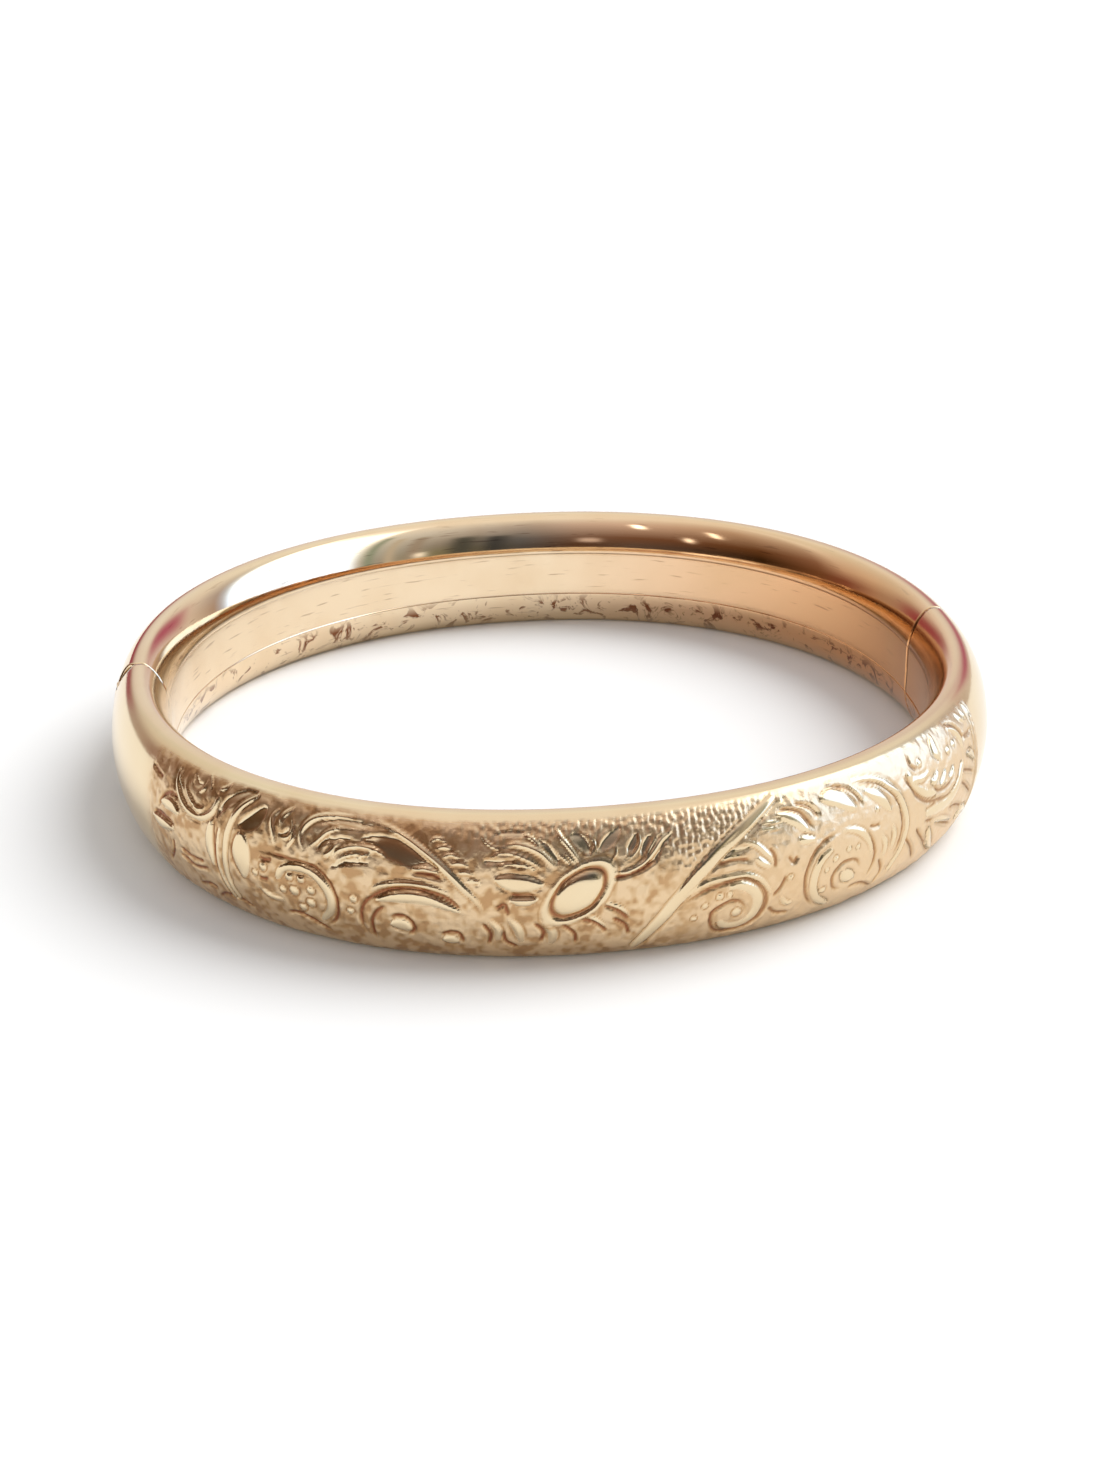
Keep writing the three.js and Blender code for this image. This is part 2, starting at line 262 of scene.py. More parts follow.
# grooves: V cuts that hold copper-brown dirt
grooves = [
    [-36.7, 3.8, -35.8, 3.5, -35, 3.35], [-35.8, 0.75, -34.6, 0.85, -33.2, 0.55],
    [-35.2, 1.2, -34.6, 2.2, -33.6, 2.75, -32.7, 2.5], [-33.4, -0.6, -33.6, -1.6, -34.6, -2.8],
    [-32.6, -0.9, -31.2, -1.2, -29.8, -1.1], [-32.9, -1.5, -31.2, -1.9, -29.4, -1.5],
    [-31.4, -3.6, -30.2, -3.1, -29.1, -3.1], [-29.6, -4.2, -28.6, -3.4, -27.2, -3.2, -25.6, -3.7],
    [-24.5, 1, -24, 0.85, -23.4, 1.05], [-24.6, -0.5, -24.2, -0.6, -23.8, -0.5],
    [-22.8, -3, -21.8, -2.7, -20.6, -3.1, -19.4, -3.8],
    [-24.2, 1.6, -22.9, 1.4, -21.5, 1.35, -20.1, 1.2, -19.2, 0.5, -18.7, -0.5, -18.6, -1.6, -19, -2.7, -20,
     -3.4],
    [-16.7, -3.6, -17, -2.1, -16.7, -0.9, -15.9, -0.1, -14.9, 0.45, -13.3, 0.68, -11.7, 0.42, -10.7, -0.1,
     -10.1, -0.8], [-16.2, -3.9, -16.3, -2.4, -15.9, -1.4, -15.2, -0.8],
    [-15, -1.7, -14.3, -1.4, -13.6, -1.75, -13.4, -2.5, -13.9, -3.1],
    [-11.7, -2.8, -11, -2.5, -10.4, -2.7, -10.2, -3.5], [-13.3, 1.75, -12.3, 1.7, -11.3, 1.45],
    [-7.1, 0.5, -6.3, 0.4, -5.4, 0.42], [-8, -0.6, -7.4, -0.2, -7.2, -1.1],
    [-8.9, -1.6, -8.4, -2.6, -8.6, -3.6], [-7.6, -2.2, -7.4, -3.2, -6.6, -3.9],
    [-5.6, -1.6, -5, -2.4, -5.2, -3.4], [-1, 1.48, 0.1, 1.42, 1.3, 1.75, 2.3, 2.3],
    [-1.2, -0.5, -0.2, -1, 0.6, -1.9], [-2.6, -1.5, -1.6, -1.9, -0.8, -2.8],
    [-0.6, -1.5, 0.3, -2.2, 0.6, -3.2], [-3.9, -1.7, -3, -2.6, -2.9, -3.6],
    [3.3, -2, 4.3, -1, 5.4, -0.4, 6.8, -0.05, 8.1, 0.08, 9.1, -0.4, 9.85, -1.2, 10, -2.4, 9.6, -3.4, 8.7,
     -4.1, 7.4, -4.3, 6.5, -3.9, 6.1, -3, 6.15, -2.2, 6.7, -1.75, 7.4, -1.5, 8.1, -1.7, 8.5, -2.3, 8.4,
     -2.9], [6.3, 1.35, 7.6, 1.5, 8.8, 1.3], [11.1, 4.2, 12.6, 3.75, 13.6, 2.4],
    [12.3, 4.35, 13.4, 3.9, 14.1, 3], [10.1, 1.9, 10.5, 1.2, 10.5, 0.3],
    [10.4, -1.8, 11, -1.15, 11.4, -0.4], [11.5, 1, 11.9, 0.45, 12.2, 0.9],
    [10.2, -2.6, 10.9, -3.4, 12.1, -3.7],
    [15.5, 1.65, 14.6, 1.4, 13.7, 0.85, 13.15, 0, 12.9, -0.9, 13, -2, 13.4, -3, 14.2, -4],
    [17.5, 1.15, 18.3, 0.5, 18.75, -0.4, 18.9, -1.5, 18.4, -2.8],
    [17.6, -1.7, 17.2, -0.95, 16.5, -0.7, 15.8, -0.85, 15.3, -1.35, 15.2, -2, 15.5, -2.7, 16.2, -3],
    [15, 4.75, 16.4, 4.5, 17.4, 3.8, 17.85, 2.8],
    [17.6, 4.3, 19.5, 3.9, 20.9, 2.7, 21.5, 1.3, 21.5, -0.4, 20.9, -2], [18.3, 1.25, 18.8, 1.05, 19.3, 1.1],
    [22.1, 3.6, 22.8, 2.5, 23.4, 1.6, 24.4, 0.9, 25.8, 0.5, 27.2, 0.3], [23.3, 4.7, 23.2, 4, 23.9, 3.3],
    [25.4, 1.6, 26.2, 1.05, 27.4, 0.95, 28.7, 1.2], [28.8, 4.95, 29.9, 4.55, 30.8, 3.7, 31.1, 2.8],
    [31.1, 3.2, 32, 3.05, 32.7, 3.1], [30.2, 1, 31.4, 0.5, 32.6, -0.1],
    [23.2, -0.6, 24, -1.6, 25, -2.7, 26.3, -4], [24.1, -0.5, 25.6, -1, 27.2, -1.9, 29.4, -3],
    [27.6, -0.9, 29.6, -1.5, 31.9, -2.9], [21.9, -0.8, 22.9, -2, 23.9, -3.6],
    [19.4, -1.6, 19.9, -2.8, 19.4, -4], [16.8, -3.1, 18.2, -3.3, 19.6, -4.2],
    [29.9, 0.2, 31.2, -0.7, 32.6, -1.8],
]

# ridges: sharp raised strokes that catch the light, each with its half width
ridges = [
    ([-32.3, 3.9, -31.6, 3.2, -30.6, 2.7, -29.6, 2.9], 0.14), ([-31.2, 2.8, -30.5, 2.55, -29.9, 2.6], 0.12),
    ([-30.8, 3.6, -30.2, 4.1, -30.1, 4.8], 0.12), ([-29.4, 4.1, -29.7, 4.8, -30.2, 5.3], 0.1),
    ([-28.8, 4.5, -28.2, 4.7, -27.8, 5.2], 0.16), ([-33, 4.8, -32.9, 4, -32.2, 3.3], 0.12),
    ([-23.2, 2, -23.5, 3, -23.6, 3.9, -23.1, 4.6], 0.18), ([-22.9, 3.4, -22.8, 4.1, -22, 4.9], 0.2),
    ([-23, 2.7, -22.2, 2.8, -21.9, 3.5, -22.1, 4.2], 0.12), ([-22.3, 2, -21.9, 2.7, -21.7, 3.3], 0.12),
    ([-20.9, 2.1, -21.3, 3.1, -20.9, 4, -20, 4.6, -18.6, 4.85, -17, 4.9], 0.2),
    ([-20.7, 2.4, -20, 3, -19.3, 3.7, -18.2, 4.1, -16.2, 4.1], 0.13),
    ([-19.5, 2, -18.9, 2.5, -18.6, 3.1], 0.2),
    ([-19, 1.9, -18.3, 2.7, -17.1, 3.1, -15.9, 3, -15.1, 2.65], 0.15),
    ([-18.7, 1.6, -18, 2.25, -17, 2.6, -15.9, 2.5], 0.1), ([-17.2, 2.1, -16.6, 2.55, -15.9, 2.8], 0.08),
    ([-24.7, -1.4, -23.8, -1.85, -22.6, -1.9], 0.2),
    ([-16.6, 4.85, -15.2, 4.6, -13.8, 4, -12.4, 3.1, -11.2, 2.15, -10.1, 1, -9.2, 0, -8.8, -0.8], 0.22),
    ([-12.3, 3.85, -11.7, 4.1, -11, 3.9], 0.13), ([-11.9, 3.4, -11.2, 3.6, -10.5, 3.3], 0.13),
    ([-11.4, 2.9, -10.8, 3.1, -10.1, 2.85], 0.13), ([-10.9, 2.4, -10.3, 2.6, -9.6, 2.35], 0.13),
    ([-10.4, 1.85, -9.9, 2, -9.2, 1.8], 0.12), ([-9.9, 1.3, -9.4, 1.45, -8.8, 1.2], 0.11),
    ([-16.3, 0.1, -15.4, 0.7, -13.8, 1, -12.2, 0.9, -10.7, 0.35], 0.2),
    ([-8.9, 4.5, -8.5, 3.95, -7.8, 3.6, -7.2, 3.7], 0.12),
    ([-8.4, 2.9, -7.6, 3.3, -6.7, 3.2, -5.6, 2.7, -4.9, 2.1], 0.12),
    ([-7.3, 3.8, -6.3, 3.8, -5.1, 3.3, -4.1, 2.2], 0.2),
    ([-8, 2.35, -7.1, 2.6, -6.1, 2.45, -5.2, 2.1], 0.1), ([-6.1, 4.5, -5.6, 4.2, -5.1, 3.7], 0.13),
    ([-4.1, 5, -3.7, 4.2, -3.1, 3.4, -2.5, 2.4], 0.16), ([-4, 3.3, -3.5, 2.8, -3.1, 2.4], 0.09),
    ([-3.5, 3.3, -3.1, 2.8, -2.8, 2.4], 0.08), ([-1.9, 2.9, -1.55, 3.7, -1.9, 4.5], 0.09),
    ([-2.1, 4.4, -1.6, 3.8, -1.45, 3], 0.08),
    ([-0.8, 1.6, 0.4, 1.7, 1.5, 2.2, 2.2, 2.9, 2.8, 3.6, 3.6, 4.1], 0.16),
    ([0.2, 2.4, 0.9, 2.8, 1.35, 3.5, 1.3, 4.3], 0.09), ([1.6, 2.4, 1.95, 3.1, 2.6, 3.9], 0.08),
    ([-0.7, 2.3, -0.2, 3, -0.3, 3.5], 0.08), ([-1.2, -0.3, -0.2, -0.7, 0.6, -1.4], 0.14),
    ([-2.4, -1.2, -1.7, -1.5, -0.9, -2.3], 0.14), ([-8.4, -1.4, -7.9, -2.2, -8, -3.2], 0.22),
    ([-7.2, -1.2, -6.6, -2.2, -6.4, -3.4], 0.25), ([-5, -1.5, -4.4, -2.5, -4.5, -3.6], 0.25),
    ([4.1, -0.6, 5.4, 0.15, 7, 0.42, 8.6, 0.3, 9.7, -0.5, 10.4, -1.7], 0.18),
    ([9.5, 3.55, 10.5, 3.5, 11.6, 3.35], 0.12), ([9.4, 3.15, 10.4, 3.1, 11.4, 2.95], 0.1),
    ([8.2, 2.65, 9.2, 2.25, 10, 1.4, 10.4, 0.8], 0.17), ([9.1, 1.4, 9.6, 0.95, 10.2, 0.5], 0.2),
    ([15.7, 1.65, 16.7, 1.5, 17.6, 1, 18.3, 0.1, 18.5, -0.9], 0.2), ([17, 4.4, 17.7, 3.7, 18.1, 2.9], 0.12),
    ([20, 3.8, 21, 3, 21.7, 2.3], 0.16), ([31.2, 5, 31.6, 4.4, 32.2, 4], 0.2),
    ([32.2, 4.9, 32.4, 4.3, 32.8, 3.9], 0.14), ([29, 4.7, 30, 4.1, 30.5, 3.2, 30.5, 2.4], 0.24),
    ([23, 2.95, 24.2, 2.7, 25.3, 2.9], 0.22), ([11.1, -1.9, 11.5, -2.6, 12.2, -2.8], 0.16),
    ([19.4, 0.3, 19.9, -0.6, 19.8, -1.6], 0.18), ([20.4, 0.8, 20.8, -0.2, 20.5, -1.4], 0.16),
    ([25.3, -0.9, 27, -1.5, 29, -2.4], 0.2),
]

# bands and petals: smooth raised shapes, with half width and the side of their dark edge
# (1 is left of the direction of travel, -1 is right, 0 is both)
bands = [
    ([-33.3, 4.6, -33.1, 3.5, -32.3, 2.6, -31.2, 2.1, -29.9, 2.2, -29, 2.9, -28.6, 4], 0.28, 0),
    ([-27, -3.2, -27.6, -1.6, -27.6, 0.4, -27.3, 2.2, -26.5, 3.8, -25.2, 5], 0.24, 0),
    ([-27.4, -3.4, -28.2, -1.6, -28.3, 0.4, -28.1, 2], 0.15, 1),
    ([-23.1, -0.2, -22.5, 0.6, -21.3, 0.92, -20.2, 0.7, -19.5, 0.05, -19.1, -0.9, -19.2, -1.9, -19.9,
     -2.8], 0.34, 0), ([0.9, -4.6, 2.4, -2.5, 3.8, -0.6, 5.4, 1.2, 7.2, 2.7, 9.1, 3.95, 11, 5.1], 0.46, 0),
    ([7.2, -0.35, 8.2, -0.4, 9.1, -1.1, 9.4, -2.1, 9.1, -3.1, 8.2, -3.7, 7.2, -3.6, 6.7, -3], 0.36, 1),
    ([15, 0.6, 14.2, 0.05, 13.7, -1, 13.7, -2.2, 14.3, -3.3, 15.3, -4.1], 0.32, 0),
    ([17.4, 4.7, 19.4, 4.25, 20.9, 3.1, 21.8, 1.6, 22.1, 0, 21.7, -1.6, 20.8, -3.2], 0.24, 0),
    ([22.7, 3.6, 23.3, 2.5, 24.3, 1.6, 25.6, 1.1], 0.3, -1),
    ([24.3, 0.1, 26.2, -0.2, 28, -0.2, 29.4, 0.5, 30.2, 1.7], 0.42, 1),
]

petals = [
    ([-36, 0.4, -34.8, 0.15, -33, 0.3], 0.42, 1), ([-34.8, 1.75, -33.6, 1.9, -32.5, 1.6], 0.5, 1),
    ([-28.85, 2.4, -29.1, 0.8, -28.8, -1], 0.4, 1), ([-26, 2.3, -26.1, 0.8, -25.9, -1], 0.8, -1),
    ([-15.8, -0.4, -14.3, 0, -12.5, 0, -10.2, -0.8], 0.45, 1),
    ([-13.4, 1.95, -12.4, 2.05, -11.4, 1.8], 0.2, -1), ([-8, 1.6, -6.6, 1.3, -4.9, 1.2], 0.62, 0),
    ([-7.1, 0.15, -6.2, 0, -5.3, 0.2], 0.34, 0), ([-15, -2.2, -14.2, -2.2, -13.6, -2.5], 0.5, 0),
    ([-11.6, -3.2, -11, -3.2, -10.5, -3.3], 0.4, 0), ([10.8, 3.95, 12.2, 3.3, 13.2, 2.3], 0.42, 1),
    ([12.3, 1.95, 12.9, 1.8, 13.6, 1.7], 0.3, 1), ([14.4, 4.2, 15.7, 3.95, 17.2, 2.7], 0.6, 1),
    ([18.2, 3.75, 19.4, 3, 20.4, 1.7], 0.42, 1), ([16, -1.4, 16.5, -2, 17.2, -2.3], 0.5, 0),
    ([26.7, 4.9, 26.5, 4, 26.8, 3.1], 0.46, 0), ([33, 5, 33.35, 4.4, 33.5, 3.7], 0.26, 1),
    ([25.1, 2.2, 25.7, 1.95, 26.1, 2.5], 0.28, 0), ([26.3, 1.4, 26.9, 1.6, 27.2, 2.2], 0.28, 0),
    ([27.7, 1.4, 28.3, 1.6, 28.4, 2.1], 0.26, 0), ([26.6, -3.9, 25.6, -2.7, 24.9, -1.2], 0.35, 0),
    ([29.6, -2.7, 31.2, -2.6, 32.8, -3.3], 0.4, 0), ([31, 1.9, 32, 1.6, 32.7, 0.8], 0.3, 0),
]

# scoops: polished hollows that mirror the room, each with its half width
scoops = [
    ([-28.4, 2.7, -27.7, 3.8, -26.4, 4.7, -25.4, 5.1], 0.38), ([-26.4, 2.6, -25.2, 3.2, -24.2, 4.4], 0.62),
    ([-31.6, 4.8, -31.1, 4.2, -30.5, 4.3], 0.3), ([-23.1, 3, -22.6, 2.9, -22.2, 3.4], 0.16),
    ([-19.9, 4.2, -18.3, 4.5, -16, 4.4], 0.22), ([-19, 1.4, -17.8, 1.9, -16.2, 2.1], 0.24),
    ([-16.9, 3.6, -14.4, 3.15, -11.5, 1.8], 0.82), ([-20, 2.4, -19.3, 3.1, -17.6, 3.5], 0.2),
    ([-8.8, 2.7, -7.2, 2.65, -5.4, 2.2], 0.22), ([-8, 4.45, -6.8, 4.5, -5.6, 4.4], 0.24),
    ([-5.2, 4.1, -4.5, 3.4, -3.9, 2.5], 0.26), ([-3.1, 4.4, -2.5, 3.9, -1.9, 3.1], 0.45),
    ([-1.3, 3.2, -0.6, 3.8, 0.2, 4.6], 0.42), ([0.5, 2.9, 0.9, 3.5, 1.2, 4.1], 0.3),
    ([1.4, 2.7, 1.8, 3.4, 2.1, 4], 0.3), ([2.2, 2.9, 2.9, 3.5, 3.5, 4], 0.34),
    ([1.7, 2, 2.3, 2.3, 2.7, 2.9], 0.2), ([6.4, 1.6, 7.4, 1.95, 8.7, 2.2], 0.34),
    ([8.5, 2.9, 9.2, 3.35, 9.9, 3.95], 0.26), ([9.7, 4, 10.7, 4.35, 11.9, 4.9], 0.26),
    ([12.4, 4.3, 13.5, 3.9, 14.3, 3.1], 0.2),
]

# small round bosses: centre and radius
bosses = [
    (-22.1, 0.1, 0.3), (-21.2, 0.1, 0.28), (-20.5, -0.6, 0.3), (-21.8, -0.9, 0.36), (-20.6, -1.6, 0.34),
    (-21.3, -2.1, 0.3), (-22.7, -1, 0.26), (5.6, -1.5, 0.22), (6.6, -0.95, 0.26), (4.9, -2.4, 0.2),
    (7.3, -0.9, 0.2), (7.9, -2.5, 0.34), (11.7, -0.6, 0.22), (15.3, -0.2, 0.22), (14.6, -0.9, 0.18),
    (16.4, 0.2, 0.2), (17.2, 0.1, 0.2), (14.5, -2.5, 0.26), (24.2, 3.8, 0.3), (28.2, 3.3, 0.3),
    (29.2, 3.4, 0.26), (-24.2, 0.3, 0.3), (-24.9, -0.3, 0.24), (-17.4, -0.6, 0.26), (-17.7, -1.6, 0.24),
    (19.1, 2.2, 0.2),
]

# a flower bud: sizes in millimetres, tilt in degrees, rings in parts of its half width
bud = {
    "centre": (-2.7, 0.42),
    "length": 1.85,
    "width": 1.12,
    "tilt": 43.0,
    "crown": 0.1,
    "cutRing": (1.14, 0.12),     # place and width
    "cutDepth": 1.3,             # in depths of a groove
    "outerRing": 1.42,
    "ringWidth": 0.13,
    "ringHeight": 0.07,
}


curveSteps = 12                  # per point


def smoothLine(points, count=None):
    # Catmull-Rom curve through a few points
    p = np.reshape(points, (-1, 2)).astype(float)
    t = np.linspace(0, len(p) - 1 - 1e-9, count or curveSteps * len(p))
    p = np.concatenate([2 * p[:1] - p[1:2], p, 2 * p[-1:] - p[-2:-1]])
    i = t.astype(int)
    t = (t - i)[:, None]
    a, b, c, d = p[i], p[i + 1], p[i + 2], p[i + 3]
    square, cube = 2 * a - 5 * b + 4 * c - d, 3 * b - a - 3 * c + d
    return 0.5 * (2 * b + (c - a) * t + square * t ** 2 + cube * t ** 3)


# Profiles of the strokes. Each pair is a place and a width in the stroke's own half widths, and
# heights and depths are parts of the stroke's own.
profile = {
    "cutTaper": (2.5, 0.7),          # how soon a cut is at its full depth, and how roundly
    "burr": (1.35, 0.45),            # thrown up on each side of a cut
    "burrHeight": 0.3,
    "crownPower": 3,                 # more is a flatter pillow
    "edgeWidth": 0.11,               # millimetres, the cut beside a pillow
    "edge": (0.5, 0.75),             # in widths of that cut
    "edgeDepth": 0.75,
    "farEdge": 0.25,                 # the cut on a pillow's other side
    "swell": 0.6,                    # less is blunter at the ends
    "tentPower": 1.5,                # the sides of a ridge
    "hollow": (1.7, 0.5),            # on each side of a ridge
    "hollowDepth": 0.35,
    "scoopTilt": 0.4,
    "scoopRim": (1.1, 0.12),
    "ring": (1.2, 0.25),             # cut round a boss
    "ringDepth": 0.5,
}
tiny = 1e-4                          # keeps a stroke's width off zero at its ends


def bell(value, centre, width):
    # e to the minus square of the distance from the centre over the width
    return np.exp(-((value - centre) / width) ** 2)


def within(value, edge, sharpness):
    # 1 well below an edge and 0 past it, in a straight line between
    return np.clip((edge - value) * sharpness, 0, 1)


def swelling(place, power):
    # a power of a sine along a line: 0 at both ends and 1 in the middle
    return np.clip(np.sin(np.pi * np.clip(place, 0, 1)), 0, 1) ** power


class Relief:
    # height of the engraved face over the plain dome, on the shell's own grid
    def __init__(self, along, across):
        self.along, self.across = along, across
        self.height = np.zeros((len(along), len(across)))
        self.polish = np.zeros_like(self.height)     # 1 where a tool left a bright facet
        self.dirt = np.zeros_like(self.height)       # 1 in the bottom of a cut

    def near(self, line, margin):
        # the window of the grid about a line, and there the distance to it, place along it and side
        low, high = line.min(0) - margin, line.max(0) + margin
        i = slice(*np.searchsorted(self.along, [low[0], high[0]]))
        j = slice(*np.searchsorted(self.across, [low[1], high[1]]))
        grid = np.stack(np.meshgrid(self.along[i], self.across[j], indexing="ij"), -1)[:, :, None]
        start, step = line[:-1], np.diff(line, axis=0)
        t = np.clip(((grid - start) * step).sum(-1) / (step ** 2).sum(-1), 0, 1)
        apart = grid - (start + step * t[..., None])
        distance = np.hypot(apart[..., 0], apart[..., 1])
        best = distance.argmin(-1)[..., None]
        nearest = np.take_along_axis(distance, best, -1)[..., 0]
        place = (best[..., 0] + np.take_along_axis(t, best, -1)[..., 0]) / len(step)
        s = step[best[..., 0]]
        a = np.take_along_axis(apart, best[..., None], 2)[..., 0, :]
        side = np.sign(s[..., 0] * a[..., 1] - s[..., 1] * a[..., 0])
        return (i, j), nearest, place, side

    def clear(self, where, amount):
        # a later shape wipes out what it covers
        self.height[where] *= 1 - amount
        self.dirt[where] *= 1 - amount

    def stain(self, where, amount):
        self.dirt[where] = np.maximum(self.dirt[where], amount)

    def shine(self, where, amount):
        self.polish[where] = np.maximum(self.polish[where], amount)

    def groove(self, line, width, depth):
        # V cut that tapers at both ends, with a low burr on each side
        where, distance, place, _ = self.near(line, width * 3)
        sooner, power = profile["cutTaper"]
        ends = np.clip(np.sin(np.pi * place) * sooner, 0, 1) ** power
        cut = np.clip(1 - distance / (width * (0.5 + 0.5 * ends)), 0, 1)
        burr = bell(distance / width, *profile["burr"]) * profile["burrHeight"]
        self.height[where] += depth * ends * (burr - cut)
        self.stain(where, np.clip(cut * 1.6, 0, 1) * ends)
        self.polish[where] *= 1 - np.clip(cut * 2, 0, 1) * ends * 0.7

    def raised(self, line, width, height, side, blunt):
        # pillow with a dark cut along one edge or both. Its crown is one minus a power of the
        # distance over the half width
        where, distance, place, which = self.near(line, width * 2.2)
        half = width * swelling(place, blunt) + tiny
        x = distance / half
        inside = within(x, 1.08, 6)
        self.clear(where, inside)
        self.height[where] += height * np.clip(1 - x ** profile["crownPower"], 0, 1)
        edge = bell((distance - half) / profile["edgeWidth"], *profile["edge"]) * (half > width * 0.3)
        dark = edge * (1.0 if side == 0 else np.where(which == side, 1.0, profile["farEdge"]))
        self.height[where] -= engraving["grooveDepth"] * profile["edgeDepth"] * dark
        self.stain(where, dark * (0.6 if side == 0 else 1.0))
        self.polish[where] *= 1 - edge
        self.shine(where, inside)

    def ridge(self, line, width, height):
        # sharp-backed stroke with a hollow on each side: a tent, tapered to both ends
        where, distance, place, _ = self.near(line, width * 4)
        ends = swelling(place, profile["swell"])
        x = distance / (width * (0.35 + 0.65 * ends))
        inside = within(x, 1.3, 4)
        self.clear(where, inside * 0.8)
        self.height[where] += height * ends * np.clip(1 - x ** profile["tentPower"], 0, 1)
        hollow = bell(x, *profile["hollow"]) * ends
        self.height[where] -= height * profile["hollowDepth"] * hollow
        self.stain(where, hollow * 0.7)
        self.shine(where, inside * ends)

    def scoop(self, line, width, depth):
        # hollow leaf whose floor tilts down to one side
        where, distance, place, side = self.near(line, width * 1.6)
        half = width * swelling(place, profile["swell"]) + tiny
        x = distance / half
        inside = within(x, 1, 5)
        self.clear(where, inside * 0.9)
        tilt = profile["scoopTilt"]
        self.height[where] -= depth * inside * (1 - tilt + tilt * side * np.clip(x, 0, 1))
        self.shine(where, inside)
        self.stain(where, bell(x, *profile["scoopRim"]) * (half > 0.08) * 0.6)

    def boss(self, x, y, radius, height):
        # small dome with a cut ring
        where, distance, _, _ = self.near(np.array([(x - 1e-3, y), (x, y)]), radius * 2)
        r = distance / radius
        inside = within(r, 1.1, 5)
        self.clear(where, inside)
        ring = bell(r, *profile["ring"])
        self.height[where] += height * (np.clip(1 - r ** 2, 0, 1) - profile["ringDepth"] * ring)
        self.shine(where, inside)
        self.stain(where, ring * 0.8)


# the ground between the strokes, in millimetres
ground = {
    "dotPitch": 0.42,
    "dotHeight": 0.11,
    "dotJitter": [0.5, 0.4],         # along and across, in pitches
    "dotStain": 0.35,
    "brushHeight": 0.06,
    "brushSizes": [0.42, 0.23],
    "patchSizes": [1.1, 0.45],       # of the dull stain
    "mostStain": 0.58,
    "wobbleHeight": 0.014,
    "wobbleSize": 2.6,
    "wobbleWaves": 14,
    "paintedLightFrom": 2.0,              # painted light: from here to the catch the stain fades, in place of the brighter window reflection there
    "paintedLightOver": 12.0,
}


def hashed(i, j, first, second, scale, seed):
    # a number from -1 to 1 for each cell, as the fraction of a large sine
    return np.modf(np.sin(i * first + j * second + seed) * scale)[0]


def punchedGround(along, across, pitch, seed):
    # rows of small round punch marks, jittered, as nearest distance to a mark over half the pitch
    s, q = np.meshgrid(along, across, indexing="ij")
    column, row = np.floor(s / pitch), np.floor(q / pitch)
    jitterX, jitterY = ground["dotJitter"]
    best = np.full(s.shape, np.inf)
    for dx in (-2, -1, 0, 1, 2):
        for dy in (-1, 0, 1):
            i, j = column + dx, row + dy
            x = i + 0.5 + jitterX * hashed(i, j, 12.9898, 78.233, 43758.5453, seed) + 0.5 * np.mod(j, 2)
            y = j + 0.5 + jitterY * hashed(i, j, 39.3461, 11.135, 24634.6345, seed)
            best = np.minimum(best, np.hypot(s - x * pitch, q - y * pitch) / (pitch / 2))
    return best


def wobble(along, across, size, seed):
    # smooth hand-worked unevenness: a sum of slanted sine waves with seeded directions
    rng = np.random.default_rng(seed)
    s, q = np.meshgrid(along, across, indexing="ij")
    total = np.zeros(s.shape)
    for _ in range(ground["wobbleWaves"]):
        angle, phase, scale = rng.uniform(0, 2 * math.pi), rng.uniform(0, 2 * math.pi), rng.uniform(0.6, 1.6)
        total += np.sin((s * math.cos(angle) + q * math.sin(angle)) / (size * scale) * 2 * math.pi + phase)
    return total / ground["wobbleWaves"] ** 0.5


def brushed(along, across, size, seed):
    # short overlapping tool strokes: value noise from hashed cells, smoothed between its cells
    s, q = np.meshgrid(along / size, across / size, indexing="ij")
    column, row = np.floor(s), np.floor(q)
    x, y = s - column, q - row
    x, y = x * x * (3 - 2 * x), y * y * (3 - 2 * y)

    def cell(i, j):
        return np.mod(np.sin(i * 127.1 + j * 311.7 + seed * 74.7) * 43758.5453, 1)

    lower = cell(column, row) * (1 - x) + cell(column + 1, row) * x
    upper = cell(column, row + 1) * (1 - x) + cell(column + 1, row + 1) * x
    return lower * (1 - y) + upper * y - 0.5


def step(value, edge, sharpness):
    # smooth step from 0 to 1 at an edge: one over one plus e to the minus distance times sharpness
    return 1 / (1 + np.exp(-(value - edge) * sharpness))


def carveBud(relief, along, across):
    # a pointed oval with a low crown, in a deep cut ring, inside a polished outer ring
    turn = math.radians(bud["tilt"])
    s, q = np.meshgrid(along - bud["centre"][0], across - bud["centre"][1], indexing="ij")
    lengthways = (s * math.cos(turn) + q * math.sin(turn)) / bud["length"]
    sideways = (q * math.cos(turn) - s * math.sin(turn)) / bud["width"]
    r = (np.abs(lengthways) ** 1.6 + np.abs(sideways) ** 2.0) ** (1 / 1.8)
    outside = bud["outerRing"] + bud["ringWidth"]
    cover = within(r, outside + 0.07, 5)
    relief.clear(..., cover)
    relief.height += bud["crown"] * np.clip(1 - r ** 4, 0, 1)
    relief.height += bud["ringHeight"] * np.exp(-((r - bud["outerRing"]) / bud["ringWidth"]) ** 4)
    ring = bell(r, *bud["cutRing"])
    relief.height -= engraving["grooveDepth"] * bud["cutDepth"] * ring
    relief.polish *= 1 - cover
    relief.shine(..., within(r, outside + 0.05, 6) * (1 - ring))
    relief.stain(..., np.maximum(ring, bell(r, outside + 0.11, 0.07) * 0.6))


